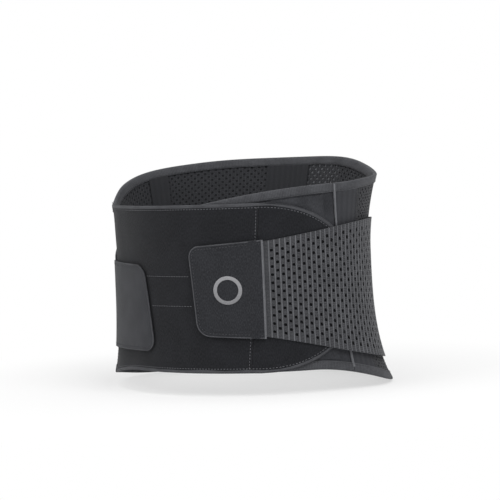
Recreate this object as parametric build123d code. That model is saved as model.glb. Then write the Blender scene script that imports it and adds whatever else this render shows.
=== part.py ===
"""A lumbar support belt, closed as it is worn round a waist.

Millimetres. +X is the wearer's left, -Y the wearer's front and +Z up. The origin is the centre of
the waist opening, at the level of the belt's lowest edge. The belt is a ring of thin cloth layers.
Every layer follows one skin surface, an ellipse in plan that flares above and below the waist, and
a place on it is an angle round the ellipse: 0 is the wearer's left side, 90 the middle of the back,
180 the right side and 270 the middle of the front. The wearer's right wing is the over wing. It
closes over the under wing, and two elastic straps pull forward over both and hold by hook tabs.
"""

import math
import os

from build123d import *

# ---------------------------------------------------------------- the body that the belt fits
WAIST_HALF_WIDTH = 135.0
WAIST_HALF_DEPTH = 98.5
WAIST_HEIGHT = 138.0
TOP_FLARE_FRONT = 5.4
TOP_FLARE_BACK = 17.5
BOTTOM_FLARE_FRONT = 7.3
BOTTOM_FLARE_BACK = 20.5
TOP_FLARE_POWER = 1.8
BOTTOM_FLARE_POWER = 3.15
FLARE_GROWS_FROM = 331.0
FLARE_GROWS_TO = 366.0

# ---------------------------------------------------------------- heights of the edges
BACK_TOP = 229.0
LEFT_REAR_TOP = 221.0
LEFT_QUARTER_TOP = 211.0
LEFT_SIDE_TOP = 208.0
LEFT_SEAM_TOP = 204.5
UNDER_WING_TOP = 199.0
UNDER_WING_FRONT_TOP = 192.5
UNDER_WING_END_TOP = 182.0
RIGHT_REAR_TOP = 226.0
RIGHT_QUARTER_TOP = 218.5
RIGHT_SIDE_TOP = 202.5
OVER_WING_TOP = 188.5
FRONT_BOTTOM = 22.5
LEFT_SIDE_BOTTOM = 9.0
RIGHT_FRONT_BOTTOM = 16.0
RIGHT_SIDE_BOTTOM = 6.0
QUARTER_BOTTOM = 0.7

# Where these heights are reached, measured backwards or forwards from the widest point.
TOP_LEVEL_BEHIND = 114.0
REAR_BEHIND = 84.0
QUARTER_BEHIND = 42.0
OVER_WING_LEVEL_AHEAD = 36.0
LEFT_BOTTOM_LEVEL_AHEAD = 62.0
RIGHT_BOTTOM_LEVEL_AHEAD = 94.0
RIGHT_FRONT_BOTTOM_AHEAD = 60.0
UNDER_WING_TOP_AT = 77.0
UNDER_WING_FRONT_TOP_AT = 37.0

# ---------------------------------------------------------------- thicknesses of the layers
LINING_THICKNESS = 0.8
CORE_THICKNESS = 1.6
BAND_THICKNESS = 0.8
UNDER_WING_THICKNESS = 2.0
LOOP_THICKNESS = 0.7
OVER_WING_THICKNESS = 2.0
HOOK_THICKNESS = 0.9
STRAP_THICKNESS = 1.3
TAB_THICKNESS = 1.0
STAY_THICKNESS = 0.8
HEM_THICKNESS = 0.6
BADGE_THICKNESS = 0.6
PLY_GAP = 0.2
BODY_GAP = 0.35

# ---------------------------------------------------------------- seams, as angles round the waist
UNDER_WING_END = 262.0
LEFT_SEAM = 340.3
LEFT_BAND_END = 356.3
LEFT_LEAN = -0.038
RIGHT_BAND_START = 187.0
RIGHT_SEAM = 200.0
OVER_END_SEAM = 300.3
OVER_END_LEAN = 0.036
OVER_RISE_FROM = 226.0
OVER_RISE_TO = 256.0
STRAP_FALL_FROM = 360.0
STRAP_FALL_TO = 390.0
ANCHOR_FROM_MIDDLE = 28.0
FRONT_TAB_SEAM = 303.0
FRONT_TAB_TIP = 272.3
SIDE_TAB_SEAM = 209.0
SIDE_TAB_TIP = 249.3
SPINE_HALF_ANGLE = 10.0
SPINE_STAY_FROM_MIDDLE = 5.5
OUTER_BAND_FROM_MIDDLE = 62.5

# ---------------------------------------------------------------- sizes of single pieces
HEM_WIDTH = 9.0
OUTER_BAND_WIDTH = 22.0
STAY_WIDTH = 10.0
STAY_CLEARANCE = 0.5
STAY_END_MARGIN = 20.0
ANCHOR_WIDTH = 16.0
PIPING_WIDTH = 2.6
PIPING_HEIGHT = 0.7
RIM_WIDTH = 3.5
RIM_PROUD = 0.15
OVER_END_LENGTH = 101.0
OVER_END_ROUND = 98.0
LOOP_MARGIN = 11.0
HOOK_MARGIN = 16.0
SEAM_GAP = 0.3
TAB_CORNER = 13.0
TAB_HOOK_MARGIN = 3.0
BADGE_RADIUS = 14.0
BADGE_STROKE = 3.6

# Heights of the tabs' and straps' edges, and how far the tabs' ends slant.
FRONT_TAB_LOW = 56.0
FRONT_TAB_HIGH = 152.5
FRONT_TAB_TIP_DROP = 3.5
FRONT_TAB_SLANT = 8.0
SIDE_TAB_LOW = 41.5
SIDE_TAB_HIGH = 131.0
SIDE_TAB_TIP_DROP = 1.5
SIDE_TAB_SLANT = 14.0
STRAP_REAR_LOW = 21.0
STRAP_SIDE_LOW = 31.0
STRAP_REAR_HIGH = 161.0
FRONT_STRAP_LEVEL_FROM = -42.0
SIDE_STRAP_LEVEL_FROM = 30.0

# ---------------------------------------------------------------- how finely the surfaces are drawn
LOFT_MARGIN = 6.0
LOFT_STEPS = 6
POINT_EVERY = 11.0
FAR = 400.0

CORE_OUTSIDE = LINING_THICKNESS + PLY_GAP + CORE_THICKNESS
MIDDLE_BACK = 90.0
MIDDLE_FRONT = 270.0
WHOLE_TURN = 360.0


# ---------------------------------------------------------------- the skin surface
def smooth_step(value, low, high):
    """Rises from 0 at low to 1 at high, level at both ends."""
    share = min(1.0, max(0.0, (value - low) / (high - low)))
    return share * share * (3 - 2 * share)


def flare(angle, height):
    """How far the body stands out from its waist at this place."""
    low, high = (math.sin(math.radians(a)) for a in (FLARE_GROWS_FROM, FLARE_GROWS_TO))
    rear = smooth_step(math.sin(math.radians(angle)), low, high)
    if height > WAIST_HEIGHT:
        reach = TOP_FLARE_FRONT + (TOP_FLARE_BACK - TOP_FLARE_FRONT) * rear
        share = (height - WAIST_HEIGHT) / (BACK_TOP - WAIST_HEIGHT)
        return reach * share**TOP_FLARE_POWER
    reach = BOTTOM_FLARE_FRONT + (BOTTOM_FLARE_BACK - BOTTOM_FLARE_FRONT) * rear
    share = (WAIST_HEIGHT - height) / WAIST_HEIGHT
    return reach * share**BOTTOM_FLARE_POWER


def outward(angle):
    """The level unit vector that points straight out of the skin."""
    turn = math.radians(angle)
    return Vector(math.cos(turn) / WAIST_HALF_WIDTH, math.sin(turn) / WAIST_HALF_DEPTH, 0).normalized()


def skin(angle, height, offset=0.0):
    """A point at a given distance outside the skin."""
    turn = math.radians(angle)
    waist = Vector(WAIST_HALF_WIDTH * math.cos(turn), WAIST_HALF_DEPTH * math.sin(turn), height)
    return waist + outward(angle) * (offset + flare(angle, height))


def degrees_for(length, angle):
    """The turn round the ellipse that spans this length of cloth at this angle."""
    turn = math.radians(angle)
    speed = math.hypot(WAIST_HALF_WIDTH * math.sin(turn), WAIST_HALF_DEPTH * math.cos(turn))
    return math.degrees(length / speed)


def as_function(value):
    """An offset may be one number or a function of the angle, and an angle one of the height."""
    return value if callable(value) else lambda place: value


def leaning(angle, lean):
    """A seam that stands at this angle at waist height and leans round the belt as it climbs."""
    return lambda height: angle + lean * (height - WAIST_HEIGHT)


def moved(seam, length):
    """The same seam, moved round the belt by this length of cloth."""
    seam = as_function(seam)
    return lambda height: seam(height) + degrees_for(length, seam(height))


def ply(start, end, inside, outside):
    """A layer of cloth from one seam to another, between two offsets, as high as the whole belt."""
    start, end, inside, outside = (as_function(value) for value in (start, end, inside, outside))
    count = max(3, math.ceil(abs(end(WAIST_HEIGHT) - start(WAIST_HEIGHT)) / POINT_EVERY) + 1)
    low, high = -LOFT_MARGIN, BACK_TOP + LOFT_MARGIN
    wires = []
    for step in range(LOFT_STEPS):
        height = low + (high - low) * step / (LOFT_STEPS - 1)
        first, last = start(height), end(height)
        angles = [first + (last - first) * i / (count - 1) for i in range(count)]
        outer = [skin(a, height, outside(a)) for a in angles]
        inner = [skin(a, height, inside(a)) for a in reversed(angles)]
        wires.append(
            Wire([Spline(*outer), Line(outer[-1], inner[0]), Spline(*inner), Line(inner[-1], outer[0])])
        )
    return Solid.make_loft(wires)


# ---------------------------------------------------------------- outlines that trim the layers
LEFT_SEAM_LINE = leaning(LEFT_SEAM, LEFT_LEAN)
LEFT_BAND_LINE = leaning(LEFT_BAND_END, LEFT_LEAN)
OVER_END_LINE = leaning(OVER_END_SEAM, OVER_END_LEAN)
LEFT_CORNER = skin(LEFT_SEAM_LINE(LEFT_SEAM_TOP), LEFT_SEAM_TOP)
UNDER_WING_CORNER = skin(UNDER_WING_END, UNDER_WING_END_TOP)

LEFT_TOP_EDGE = [
    (LEFT_CORNER.Y, LEFT_SEAM_TOP),
    (0.0, LEFT_SIDE_TOP),
    (QUARTER_BEHIND, LEFT_QUARTER_TOP),
    (REAR_BEHIND, LEFT_REAR_TOP),
    (TOP_LEVEL_BEHIND, BACK_TOP),
]
RIGHT_TOP_EDGE = [
    (-OVER_WING_LEVEL_AHEAD, OVER_WING_TOP),
    (0.0, RIGHT_SIDE_TOP),
    (QUARTER_BEHIND, RIGHT_QUARTER_TOP),
    (REAR_BEHIND, RIGHT_REAR_TOP),
    (TOP_LEVEL_BEHIND, BACK_TOP),
]
OVER_TOP_EDGE = [(-OVER_WING_LEVEL_AHEAD, OVER_WING_TOP), (TOP_LEVEL_BEHIND, OVER_WING_TOP)]
REAR_BOTTOM_EDGE = [(QUARTER_BEHIND, QUARTER_BOTTOM), (REAR_BEHIND, 0.0)]
LEFT_BOTTOM_EDGE = [
    (-LEFT_BOTTOM_LEVEL_AHEAD, FRONT_BOTTOM),
    (0.0, LEFT_SIDE_BOTTOM),
    *REAR_BOTTOM_EDGE,
]
RIGHT_BOTTOM_EDGE = [
    (-RIGHT_BOTTOM_LEVEL_AHEAD, FRONT_BOTTOM),
    (-RIGHT_FRONT_BOTTOM_AHEAD, RIGHT_FRONT_BOTTOM),
    (0.0, RIGHT_SIDE_BOTTOM),
    *REAR_BOTTOM_EDGE,
]
UNDER_TOP_EDGE = [
    (UNDER_WING_CORNER.X, UNDER_WING_END_TOP),
    (UNDER_WING_FRONT_TOP_AT, UNDER_WING_FRONT_TOP),
    (UNDER_WING_TOP_AT, UNDER_WING_TOP),
    (LEFT_CORNER.X, LEFT_SEAM_TOP),
]


def edge_curve(points, lifted, level_ends):
    """A level run from the front, a curve through the points and a level run to the back."""
    front = (0, -FAR, points[0][1] + lifted)
    back = (0, FAR, points[-1][1] + lifted)
    places = [(0, y, z + lifted) for y, z in points]
    tangents = [(0, 1, 0), (0, 1, 0)] if level_ends else []
    return [Line(front, places[0]), Spline(*places, tangents=tangents), Line(places[-1], back)]


def elevation(
    top_edge, bottom_edge, lowered=0.0, raised=0.0, low_x=-FAR, high_x=FAR, level_ends=True
):
    """What lies between two edge curves of the belt's side view, over a stretch of its width."""
    top = edge_curve(top_edge, -lowered, level_ends)
    bottom = edge_curve(bottom_edge, raised, level_ends)
    ends = [Line(top[-1] @ 1, bottom[-1] @ 1), Line(bottom[0] @ 0, top[0] @ 0)]
    face = Face(Wire(top + ends + bottom))
    return Pos(low_x, 0, 0) * Solid.extrude(face, Vector(high_x - low_x, 0, 0))


def under_front_view(lowered):
    """What lies below the under wing's top edge, which is drawn in the belt's front view."""
    places = [(x, -FAR, z - lowered) for x, z in UNDER_TOP_EDGE]
    corners = [places[-1], (FAR, -FAR, places[-1][2]), (FAR, -FAR, -FAR), (-FAR, -FAR, -FAR)]
    corners += [(-FAR, -FAR, places[0][2]), places[0]]
    face = Face(Wire([Spline(*places), *(Line(*pair) for pair in zip(corners, corners[1:]))]))
    return Solid.extrude(face, Vector(0, 2 * FAR, 0))


def ring_outline(lowered=0.0, raised=0.0):
    """The belt's outline, whose top edge differs on the wearer's left and right."""
    left = elevation(LEFT_TOP_EDGE, LEFT_BOTTOM_EDGE, lowered, raised, low_x=0)
    right = elevation(RIGHT_TOP_EDGE, RIGHT_BOTTOM_EDGE, lowered, raised, high_x=0)
    return left + right


def facing(angle):
    """A plane that stands on the waist at this angle: x runs round the belt, y up and z outwards."""
    out = outward(angle)
    return Plane(origin=skin(angle, 0), x_dir=Vector(-out.Y, out.X, 0), z_dir=out)


def along(angle, at, offset=0.0):
    """How far round the belt one angle lies from another, measured on the plane that faces it."""
    plane = facing(at)
    return (skin(angle, WAIST_HEIGHT, offset) - plane.origin).dot(plane.x_dir)


def stamped(outline, angle):
    """An outline drawn on the facing plane, carried straight through every layer there."""
    face = facing(angle) * outline
    return extrude(face, amount=FAR, both=True)


def solids_of(shape):
    """The single solid that a cut leaves, or a group where it leaves several."""
    pieces = shape.solids()
    return pieces[0] if len(pieces) == 1 else Compound(children=pieces)


# ---------------------------------------------------------------- the back, which stays still
HEM_VOID_INSIDE = -PLY_GAP
HEM_VOID_OUTSIDE = CORE_OUTSIDE + PLY_GAP
HEM_INSIDE = HEM_VOID_INSIDE - HEM_THICKNESS
HEM_OUTSIDE = HEM_VOID_OUTSIDE + HEM_THICKNESS
UNDER_HEM = HEM_THICKNESS + PLY_GAP
BESIDE_HEM = HEM_WIDTH + PLY_GAP
STAY_INSIDE = LINING_THICKNESS + PLY_GAP


def a_turn_back(seam):
    """The same seam, counted from the other side of the start of the turn."""
    return lambda height: as_function(seam)(height) - WHOLE_TURN


LEFT_EDGE = a_turn_back(moved(LEFT_SEAM_LINE, SEAM_GAP))
LEFT_MESH_EDGE = a_turn_back(moved(LEFT_BAND_LINE, SEAM_GAP))
RIGHT_EDGE = moved(RIGHT_SEAM, -SEAM_GAP)
RIGHT_MESH_EDGE = moved(RIGHT_BAND_START, -SEAM_GAP)

STAYS = {
    "spine_stay_left": MIDDLE_BACK - SPINE_STAY_FROM_MIDDLE,
    "spine_stay_right": MIDDLE_BACK + SPINE_STAY_FROM_MIDDLE,
    "outer_stay_left": MIDDLE_BACK - OUTER_BAND_FROM_MIDDLE,
    "outer_stay_right": MIDDLE_BACK + OUTER_BAND_FROM_MIDDLE,
    "side_stay_left": a_turn_back(leaning((LEFT_SEAM + LEFT_BAND_END) / 2, LEFT_LEAN)),
    "side_stay_right": (RIGHT_BAND_START + RIGHT_SEAM) / 2,
}
MESH_STAYS = [name for name in STAYS if not name.startswith("side")]


def stay(middle):
    """A flat spring stay."""
    half = STAY_WIDTH / 2
    shape = ply(moved(middle, -half), moved(middle, half), STAY_INSIDE, STAY_INSIDE + STAY_THICKNESS)
    return solids_of(shape & ring_outline(STAY_END_MARGIN, STAY_END_MARGIN))


def pocket(middle):
    """The room that a stay needs in the core."""
    half = STAY_WIDTH / 2 + STAY_CLEARANCE
    play = PLY_GAP / 2
    inside, outside = STAY_INSIDE - play, STAY_INSIDE + STAY_THICKNESS + play
    margin = STAY_END_MARGIN - STAY_CLEARANCE
    return ply(moved(middle, -half), moved(middle, half), inside, outside) & ring_outline(margin, margin)


def back_mesh():
    """The spacer mesh round the back and both sides, with pockets for four stays."""
    shape = ply(LEFT_MESH_EDGE, RIGHT_MESH_EDGE, LINING_THICKNESS + PLY_GAP, CORE_OUTSIDE)
    shape = shape & ring_outline(UNDER_HEM, UNDER_HEM)
    for name in MESH_STAYS:
        shape = shape - pocket(STAYS[name])
    return solids_of(shape)


def back_lining():
    shape = ply(LEFT_MESH_EDGE, RIGHT_MESH_EDGE, 0.0, LINING_THICKNESS)
    return solids_of(shape & ring_outline(UNDER_HEM, UNDER_HEM))


def side_band(start, end, stay_middle):
    """A closed woven sleeve with one stay in it, which joins the mesh to a wing."""
    shape = ply(start, end, 0.0, CORE_OUTSIDE) & ring_outline(UNDER_HEM, UNDER_HEM)
    return solids_of(shape - pocket(stay_middle))


def side_band_left():
    end = a_turn_back(moved(LEFT_BAND_LINE, -SEAM_GAP))
    return side_band(LEFT_EDGE, end, STAYS["side_stay_left"])


def side_band_right():
    return side_band(moved(RIGHT_BAND_START, SEAM_GAP), RIGHT_EDGE, STAYS["side_stay_right"])


def inner_band(middle, half_angle):
    """A smooth woven tape on the inside of the lining that covers the stays."""
    outside = -PLY_GAP / 2
    shape = ply(middle - half_angle, middle + half_angle, outside - BAND_THICKNESS, outside)
    return solids_of(shape & ring_outline(BESIDE_HEM, BESIDE_HEM))


def outer_band(middle):
    return inner_band(middle, degrees_for(OUTER_BAND_WIDTH / 2, middle))


def folded_hem(start, end, outline, top):
    """A binding folded over the top or bottom edge of an outline, from one seam to another."""
    beyond = FAR / 4
    whole = ply(start, end, HEM_INSIDE, HEM_OUTSIDE)
    cloth = ply(moved(start, -SEAM_GAP), moved(end, SEAM_GAP), HEM_VOID_INSIDE, HEM_VOID_OUTSIDE)
    below_hem = outline(HEM_WIDTH, -beyond) if top else outline(-beyond, HEM_WIDTH)
    filling = outline(HEM_THICKNESS, -beyond) if top else outline(-beyond, HEM_THICKNESS)
    return solids_of((whole & outline()) - below_hem - (cloth & filling))


def strap_anchor(middle):
    """A tape stitched over the end of a strap on the back."""
    inside = CORE_OUTSIDE + PLY_GAP
    half = ANCHOR_WIDTH / 2
    shape = ply(moved(middle, -half), moved(middle, half), inside, inside + STRAP_THICKNESS)
    low, high = STRAP_REAR_LOW, STRAP_REAR_HIGH
    return solids_of(shape & Pos(0, 0, (low + high) / 2) * Box(2 * FAR, 2 * FAR, high - low))


def seam_piping():
    """The thin welt that stands proud on the seam in front of the left side stay."""
    start = LEFT_EDGE
    inside = CORE_OUTSIDE + PLY_GAP / 2
    shape = ply(start, moved(start, PIPING_WIDTH), inside, inside + PIPING_HEIGHT)
    return solids_of(shape & ring_outline(BESIDE_HEM, BESIDE_HEM))


# ---------------------------------------------------------------- the under wing
UNDER_WING_REAR = moved(LEFT_SEAM_LINE, -SEAM_GAP)


def under_outline(lowered=0.0, raised=0.0):
    """The under wing's outline: its own top edge and the belt's bottom edge."""
    level = [(0.0, BACK_TOP), (TOP_LEVEL_BEHIND, BACK_TOP)]
    return elevation(level, LEFT_BOTTOM_EDGE, lowered, raised) & under_front_view(lowered)


def under_wing():
    shape = ply(UNDER_WING_END, UNDER_WING_REAR, 0.0, UNDER_WING_THICKNESS)
    return solids_of(shape & under_outline(UNDER_HEM, UNDER_HEM))


def under_wing_loop():
    """The loop pile face that the over wing's hooks grip."""
    inside = UNDER_WING_THICKNESS + PLY_GAP / 2
    start, end = moved(UNDER_WING_END, LOOP_MARGIN), moved(LEFT_SEAM_LINE, -LOOP_MARGIN)
    shape = ply(start, end, inside, inside + LOOP_THICKNESS)
    return solids_of(shape & under_outline(LOOP_MARGIN, LOOP_MARGIN))


# ---------------------------------------------------------------- the over wing
UNDER_RIM = RIM_WIDTH + PLY_GAP
OVER_LOW = LINING_THICKNESS / 2
OVER_HIGH = HEM_OUTSIDE + BODY_GAP + PLY_GAP
OVER_START = moved(RIGHT_SEAM, SEAM_GAP)
OVER_END_MIDDLE = (OVER_END_SEAM + WHOLE_TURN) / 2
OVER_END_LIMIT = WHOLE_TURN + OVER_END_MIDDLE - OVER_END_SEAM


def over_inside(angle):
    """The over wing lies on the skin at its seam and climbs over the under wing in front."""
    return OVER_LOW + (OVER_HIGH - OVER_LOW) * smooth_step(angle, OVER_RISE_FROM, OVER_RISE_TO)


def over_outside(angle):
    return over_inside(angle) + OVER_WING_THICKNESS


def rim_inside(angle):
    return over_inside(angle) - RIM_PROUD


def rim_outside(angle):
    return over_outside(angle) + RIM_PROUD


def over_outline(inset=0.0):
    """The over wing's outline: level edges from its side seam on, and a fully rounded end."""
    round_start = along(OVER_END_SEAM, OVER_END_MIDDLE, OVER_HIGH) + OVER_END_LENGTH - OVER_END_ROUND
    low, high = FRONT_BOTTOM + inset, OVER_WING_TOP - inset
    middle, half = (low + high) / 2, (high - low) / 2
    front = along(MIDDLE_FRONT, OVER_END_MIDDLE, OVER_HIGH)
    tail = [(round_start, high), (-FAR, high), (-FAR, -FAR), (front, -FAR), (front, low), (round_start, low)]
    edges = [
        EllipticalCenterArc((round_start, middle), OVER_END_ROUND - inset, half, -90, arc_size=180),
        *(Line(*pair) for pair in zip(tail, tail[1:])),
    ]
    end = stamped(Face(Wire(edges)), OVER_END_MIDDLE)
    return elevation(OVER_TOP_EDGE, RIGHT_BOTTOM_EDGE, inset, inset) & end


def over_wing():
    end = moved(OVER_END_LINE, -SEAM_GAP / 2)
    return solids_of(ply(OVER_START, end, over_inside, over_outside) & over_outline(UNDER_RIM))


def over_wing_end():
    start = moved(OVER_END_LINE, SEAM_GAP / 2)
    return solids_of(ply(start, OVER_END_LIMIT, over_inside, over_outside) & over_outline(UNDER_RIM))


def over_wing_rim():
    """The edge binding that runs round the whole over wing."""
    whole = ply(OVER_START, OVER_END_LIMIT, rim_inside, rim_outside)
    return solids_of((whole & over_outline()) - over_outline(RIM_WIDTH))


def over_wing_hook():
    """The hook patch under the over wing's end."""
    outside = OVER_HIGH - PLY_GAP / 2
    start, end = moved(OVER_END_LINE, HOOK_MARGIN), moved(LEFT_SEAM_LINE, -HOOK_MARGIN)
    shape = ply(start, end, outside - HOOK_THICKNESS, outside)
    return solids_of(shape & over_outline(HOOK_MARGIN))


# ---------------------------------------------------------------- the straps
STRAP_ON_WING = OVER_HIGH + OVER_WING_THICKNESS + BODY_GAP + PLY_GAP / 2
STRAP_ON_BACK = CORE_OUTSIDE + BODY_GAP
STRAP_CLEAR_OF_MIDDLE = ANCHOR_WIDTH / 2 + SEAM_GAP
LEFT_ANCHOR = WHOLE_TURN + MIDDLE_BACK - ANCHOR_FROM_MIDDLE
RIGHT_ANCHOR = MIDDLE_BACK + ANCHOR_FROM_MIDDLE
FRONT_STRAP_REAR = moved(LEFT_ANCHOR, -STRAP_CLEAR_OF_MIDDLE)
SIDE_STRAP_REAR = moved(RIGHT_ANCHOR, STRAP_CLEAR_OF_MIDDLE)


def front_strap_inside(angle):
    """The front strap comes off the back and climbs over the over wing's end."""
    fall = smooth_step(angle, STRAP_FALL_FROM, STRAP_FALL_TO)
    return STRAP_ON_WING + (STRAP_ON_BACK - STRAP_ON_WING) * fall


def side_strap_inside(angle):
    """The side strap lies on the back and then on the over wing."""
    return STRAP_ON_BACK + over_inside(angle) - OVER_LOW


def raised(offset, amount):
    """The same offset, further out."""
    return lambda angle: as_function(offset)(angle) + amount


FRONT_STRAP_OUTSIDE = raised(front_strap_inside, STRAP_THICKNESS)
SIDE_STRAP_OUTSIDE = raised(side_strap_inside, STRAP_THICKNESS)


def strap_outline(seam, seam_low, seam_high, level_from):
    """A strap's side view: it widens from the seam of its tab to its anchor."""
    seam_y = skin(seam, WAIST_HEIGHT).Y
    rear_y = skin(LEFT_ANCHOR, WAIST_HEIGHT).Y
    top = [(seam_y, seam_high), (level_from, STRAP_REAR_HIGH), (rear_y, STRAP_REAR_HIGH)]
    bottom = [(seam_y, seam_low), (0.0, STRAP_SIDE_LOW), (rear_y, STRAP_REAR_LOW)]
    return elevation(top, bottom, level_ends=False)


def front_strap():
    shape = ply(
        moved(FRONT_TAB_SEAM, SEAM_GAP), FRONT_STRAP_REAR, front_strap_inside, FRONT_STRAP_OUTSIDE
    )
    inset = TAB_HOOK_MARGIN / 2
    low, high = FRONT_TAB_LOW + inset, FRONT_TAB_HIGH - inset
    return solids_of(shape & strap_outline(FRONT_TAB_SEAM, low, high, FRONT_STRAP_LEVEL_FROM))


def side_strap_piece(start, end):
    shape = ply(start, end, side_strap_inside, SIDE_STRAP_OUTSIDE)
    inset = TAB_HOOK_MARGIN / 2
    low, high = SIDE_TAB_LOW + inset, SIDE_TAB_HIGH - inset
    return solids_of(shape & strap_outline(SIDE_TAB_SEAM, low, high, SIDE_STRAP_LEVEL_FROM))


def side_strap_rear():
    """The stretch of the side strap that lies along the back, up to the right side seam."""
    return side_strap_piece(SIDE_STRAP_REAR, RIGHT_EDGE)


def side_strap():
    """The stretch of the side strap that lies on the over wing."""
    return side_strap_piece(OVER_START, moved(SIDE_TAB_SEAM, -SEAM_GAP))


# ---------------------------------------------------------------- the hook tabs
TAB_INSIDE_STRAP = PLY_GAP / 2
TAB_BEYOND_TIP = 6.0


class Tab:
    """A tab's outline, plies and place, for a strap that ends at the tab's seam."""

    def __init__(self, seam, tip, low, high, drop, slant, strap_inside):
        self.seam, self.tip, self.low, self.high = seam, tip, low, high
        self.drop, self.slant, self.strap_inside = drop, slant, strap_inside
        self.middle = (seam + tip) / 2
        self.lift = strap_inside(self.middle)
        self.outer_inside = raised(strap_inside, STRAP_THICKNESS + PLY_GAP)
        self.outer_outside = raised(self.outer_inside, TAB_THICKNESS)

    def outline(self, inset=0.0):
        """A straight seam, and a slanted end with round corners."""
        at_seam = along(self.seam, self.middle, self.lift)
        at_tip = along(self.tip, self.middle, self.lift)
        to_seam = math.copysign(1, at_seam - at_tip)
        beyond_seam = at_seam + to_seam * TAB_CORNER
        at_tip += to_seam * inset
        corners = [
            (beyond_seam, self.low + inset),
            (at_tip + self.slant / 2, self.low + self.drop + inset),
            (at_tip - self.slant / 2, self.high - self.drop - inset),
            (beyond_seam, self.high - inset),
        ]
        face = Face(Wire(Polyline(*corners, close=True)))
        tip_corners = [v for v in face.vertices() if abs(v.X - at_tip) < self.slant]
        return stamped(face.fillet_2d(TAB_CORNER - inset, tip_corners), self.middle)

    def ply(self, inset, inside, outside):
        """A layer of the tab, from just past its tip to its seam, cut to its outline."""
        towards_seam = math.copysign(1, self.seam - self.tip)
        past_tip = moved(self.tip, -towards_seam * (TAB_BEYOND_TIP + self.slant))
        at_seam = moved(self.seam, -towards_seam * SEAM_GAP)
        start, end = (past_tip, at_seam) if towards_seam > 0 else (at_seam, past_tip)
        return solids_of(ply(start, end, inside, outside) & self.outline(inset))

    def outer_ply(self):
        return self.ply(0.0, self.outer_inside, self.outer_outside)

    def hook_ply(self):
        inside = raised(self.strap_inside, -TAB_INSIDE_STRAP)
        return self.ply(TAB_HOOK_MARGIN, inside, raised(self.strap_inside, STRAP_THICKNESS))

    def badge(self):
        """A plain raised ring of rubber print in the middle of the tab."""
        ring = Circle(BADGE_RADIUS) - Circle(BADGE_RADIUS - BADGE_STROKE)
        place = Pos(0, (self.low + self.high) / 2)
        inside = raised(self.outer_outside, PLY_GAP / 2)
        start, end = moved(self.middle, -2 * BADGE_RADIUS), moved(self.middle, 2 * BADGE_RADIUS)
        layer = ply(start, end, inside, raised(inside, BADGE_THICKNESS))
        return solids_of(layer & stamped(place * ring, self.middle))


FRONT_TAB = Tab(
    FRONT_TAB_SEAM, FRONT_TAB_TIP, FRONT_TAB_LOW, FRONT_TAB_HIGH,
    FRONT_TAB_TIP_DROP, FRONT_TAB_SLANT, front_strap_inside,
)
SIDE_TAB = Tab(
    SIDE_TAB_SEAM, SIDE_TAB_TIP, SIDE_TAB_LOW, SIDE_TAB_HIGH,
    SIDE_TAB_TIP_DROP, SIDE_TAB_SLANT, side_strap_inside,
)


# ---------------------------------------------------------------- hinge lines of the soft seams
def hinge_place(seam, offset, low, high):
    """An upright fold line at a seam, outside every layer there over the whole height."""
    angle = as_function(seam)((low + high) / 2)
    widest = max(flare(angle, low), flare(angle, high))
    return skin(angle, WAIST_HEIGHT, as_function(offset)(angle) + widest)


HINGES = {
    "front_strap_swing": hinge_place(
        FRONT_STRAP_REAR, FRONT_STRAP_OUTSIDE, STRAP_REAR_LOW, STRAP_REAR_HIGH
    ),
    "over_wing_open": hinge_place(OVER_START, SIDE_STRAP_OUTSIDE, RIGHT_SIDE_BOTTOM, OVER_WING_TOP),
    "side_strap_swing": hinge_place(OVER_START, SIDE_STRAP_OUTSIDE, SIDE_TAB_LOW, SIDE_TAB_HIGH),
    "under_wing_open": hinge_place(UNDER_WING_REAR, HEM_OUTSIDE, LEFT_SIDE_BOTTOM, LEFT_SEAM_TOP),
    "front_tab_peel": hinge_place(
        moved(FRONT_TAB_SEAM, -SEAM_GAP), FRONT_TAB.outer_outside, FRONT_TAB_LOW, FRONT_TAB_HIGH
    ),
    "side_tab_peel": hinge_place(
        moved(SIDE_TAB_SEAM, SEAM_GAP), SIDE_TAB.outer_outside, SIDE_TAB_LOW, SIDE_TAB_HIGH
    ),
}


# ---------------------------------------------------------------- every piece under its node's name
def pieces():
    """Makes all the pieces, keyed by the names of their nodes."""
    return {
        "back_mesh": back_mesh(),
        "back_lining": back_lining(),
        "side_band_left": side_band_left(),
        "side_band_right": side_band_right(),
        "spine_band": inner_band(MIDDLE_BACK, SPINE_HALF_ANGLE),
        "outer_band_left": outer_band(MIDDLE_BACK - OUTER_BAND_FROM_MIDDLE),
        "outer_band_right": outer_band(MIDDLE_BACK + OUTER_BAND_FROM_MIDDLE),
        **{name: stay(middle) for name, middle in STAYS.items()},
        "top_hem": folded_hem(LEFT_EDGE, RIGHT_EDGE, ring_outline, top=True),
        "bottom_hem": folded_hem(LEFT_EDGE, RIGHT_EDGE, ring_outline, top=False),
        "strap_anchor_left": strap_anchor(LEFT_ANCHOR),
        "strap_anchor_right": strap_anchor(RIGHT_ANCHOR),
        "seam_piping": seam_piping(),
        "side_strap_rear": side_strap_rear(),
        "under_wing": under_wing(),
        "under_wing_loop": under_wing_loop(),
        "under_wing_top_hem": folded_hem(UNDER_WING_END, UNDER_WING_REAR, under_outline, top=True),
        "under_wing_bottom_hem": folded_hem(UNDER_WING_END, UNDER_WING_REAR, under_outline, top=False),
        "over_wing": over_wing(),
        "over_wing_end": over_wing_end(),
        "over_wing_rim": over_wing_rim(),
        "over_wing_hook": over_wing_hook(),
        "front_strap": front_strap(),
        "front_tab": FRONT_TAB.outer_ply(),
        "front_tab_hook": FRONT_TAB.hook_ply(),
        "front_tab_badge": FRONT_TAB.badge(),
        "side_strap": side_strap(),
        "side_tab": SIDE_TAB.outer_ply(),
        "side_tab_hook": SIDE_TAB.hook_ply(),
    }


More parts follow.
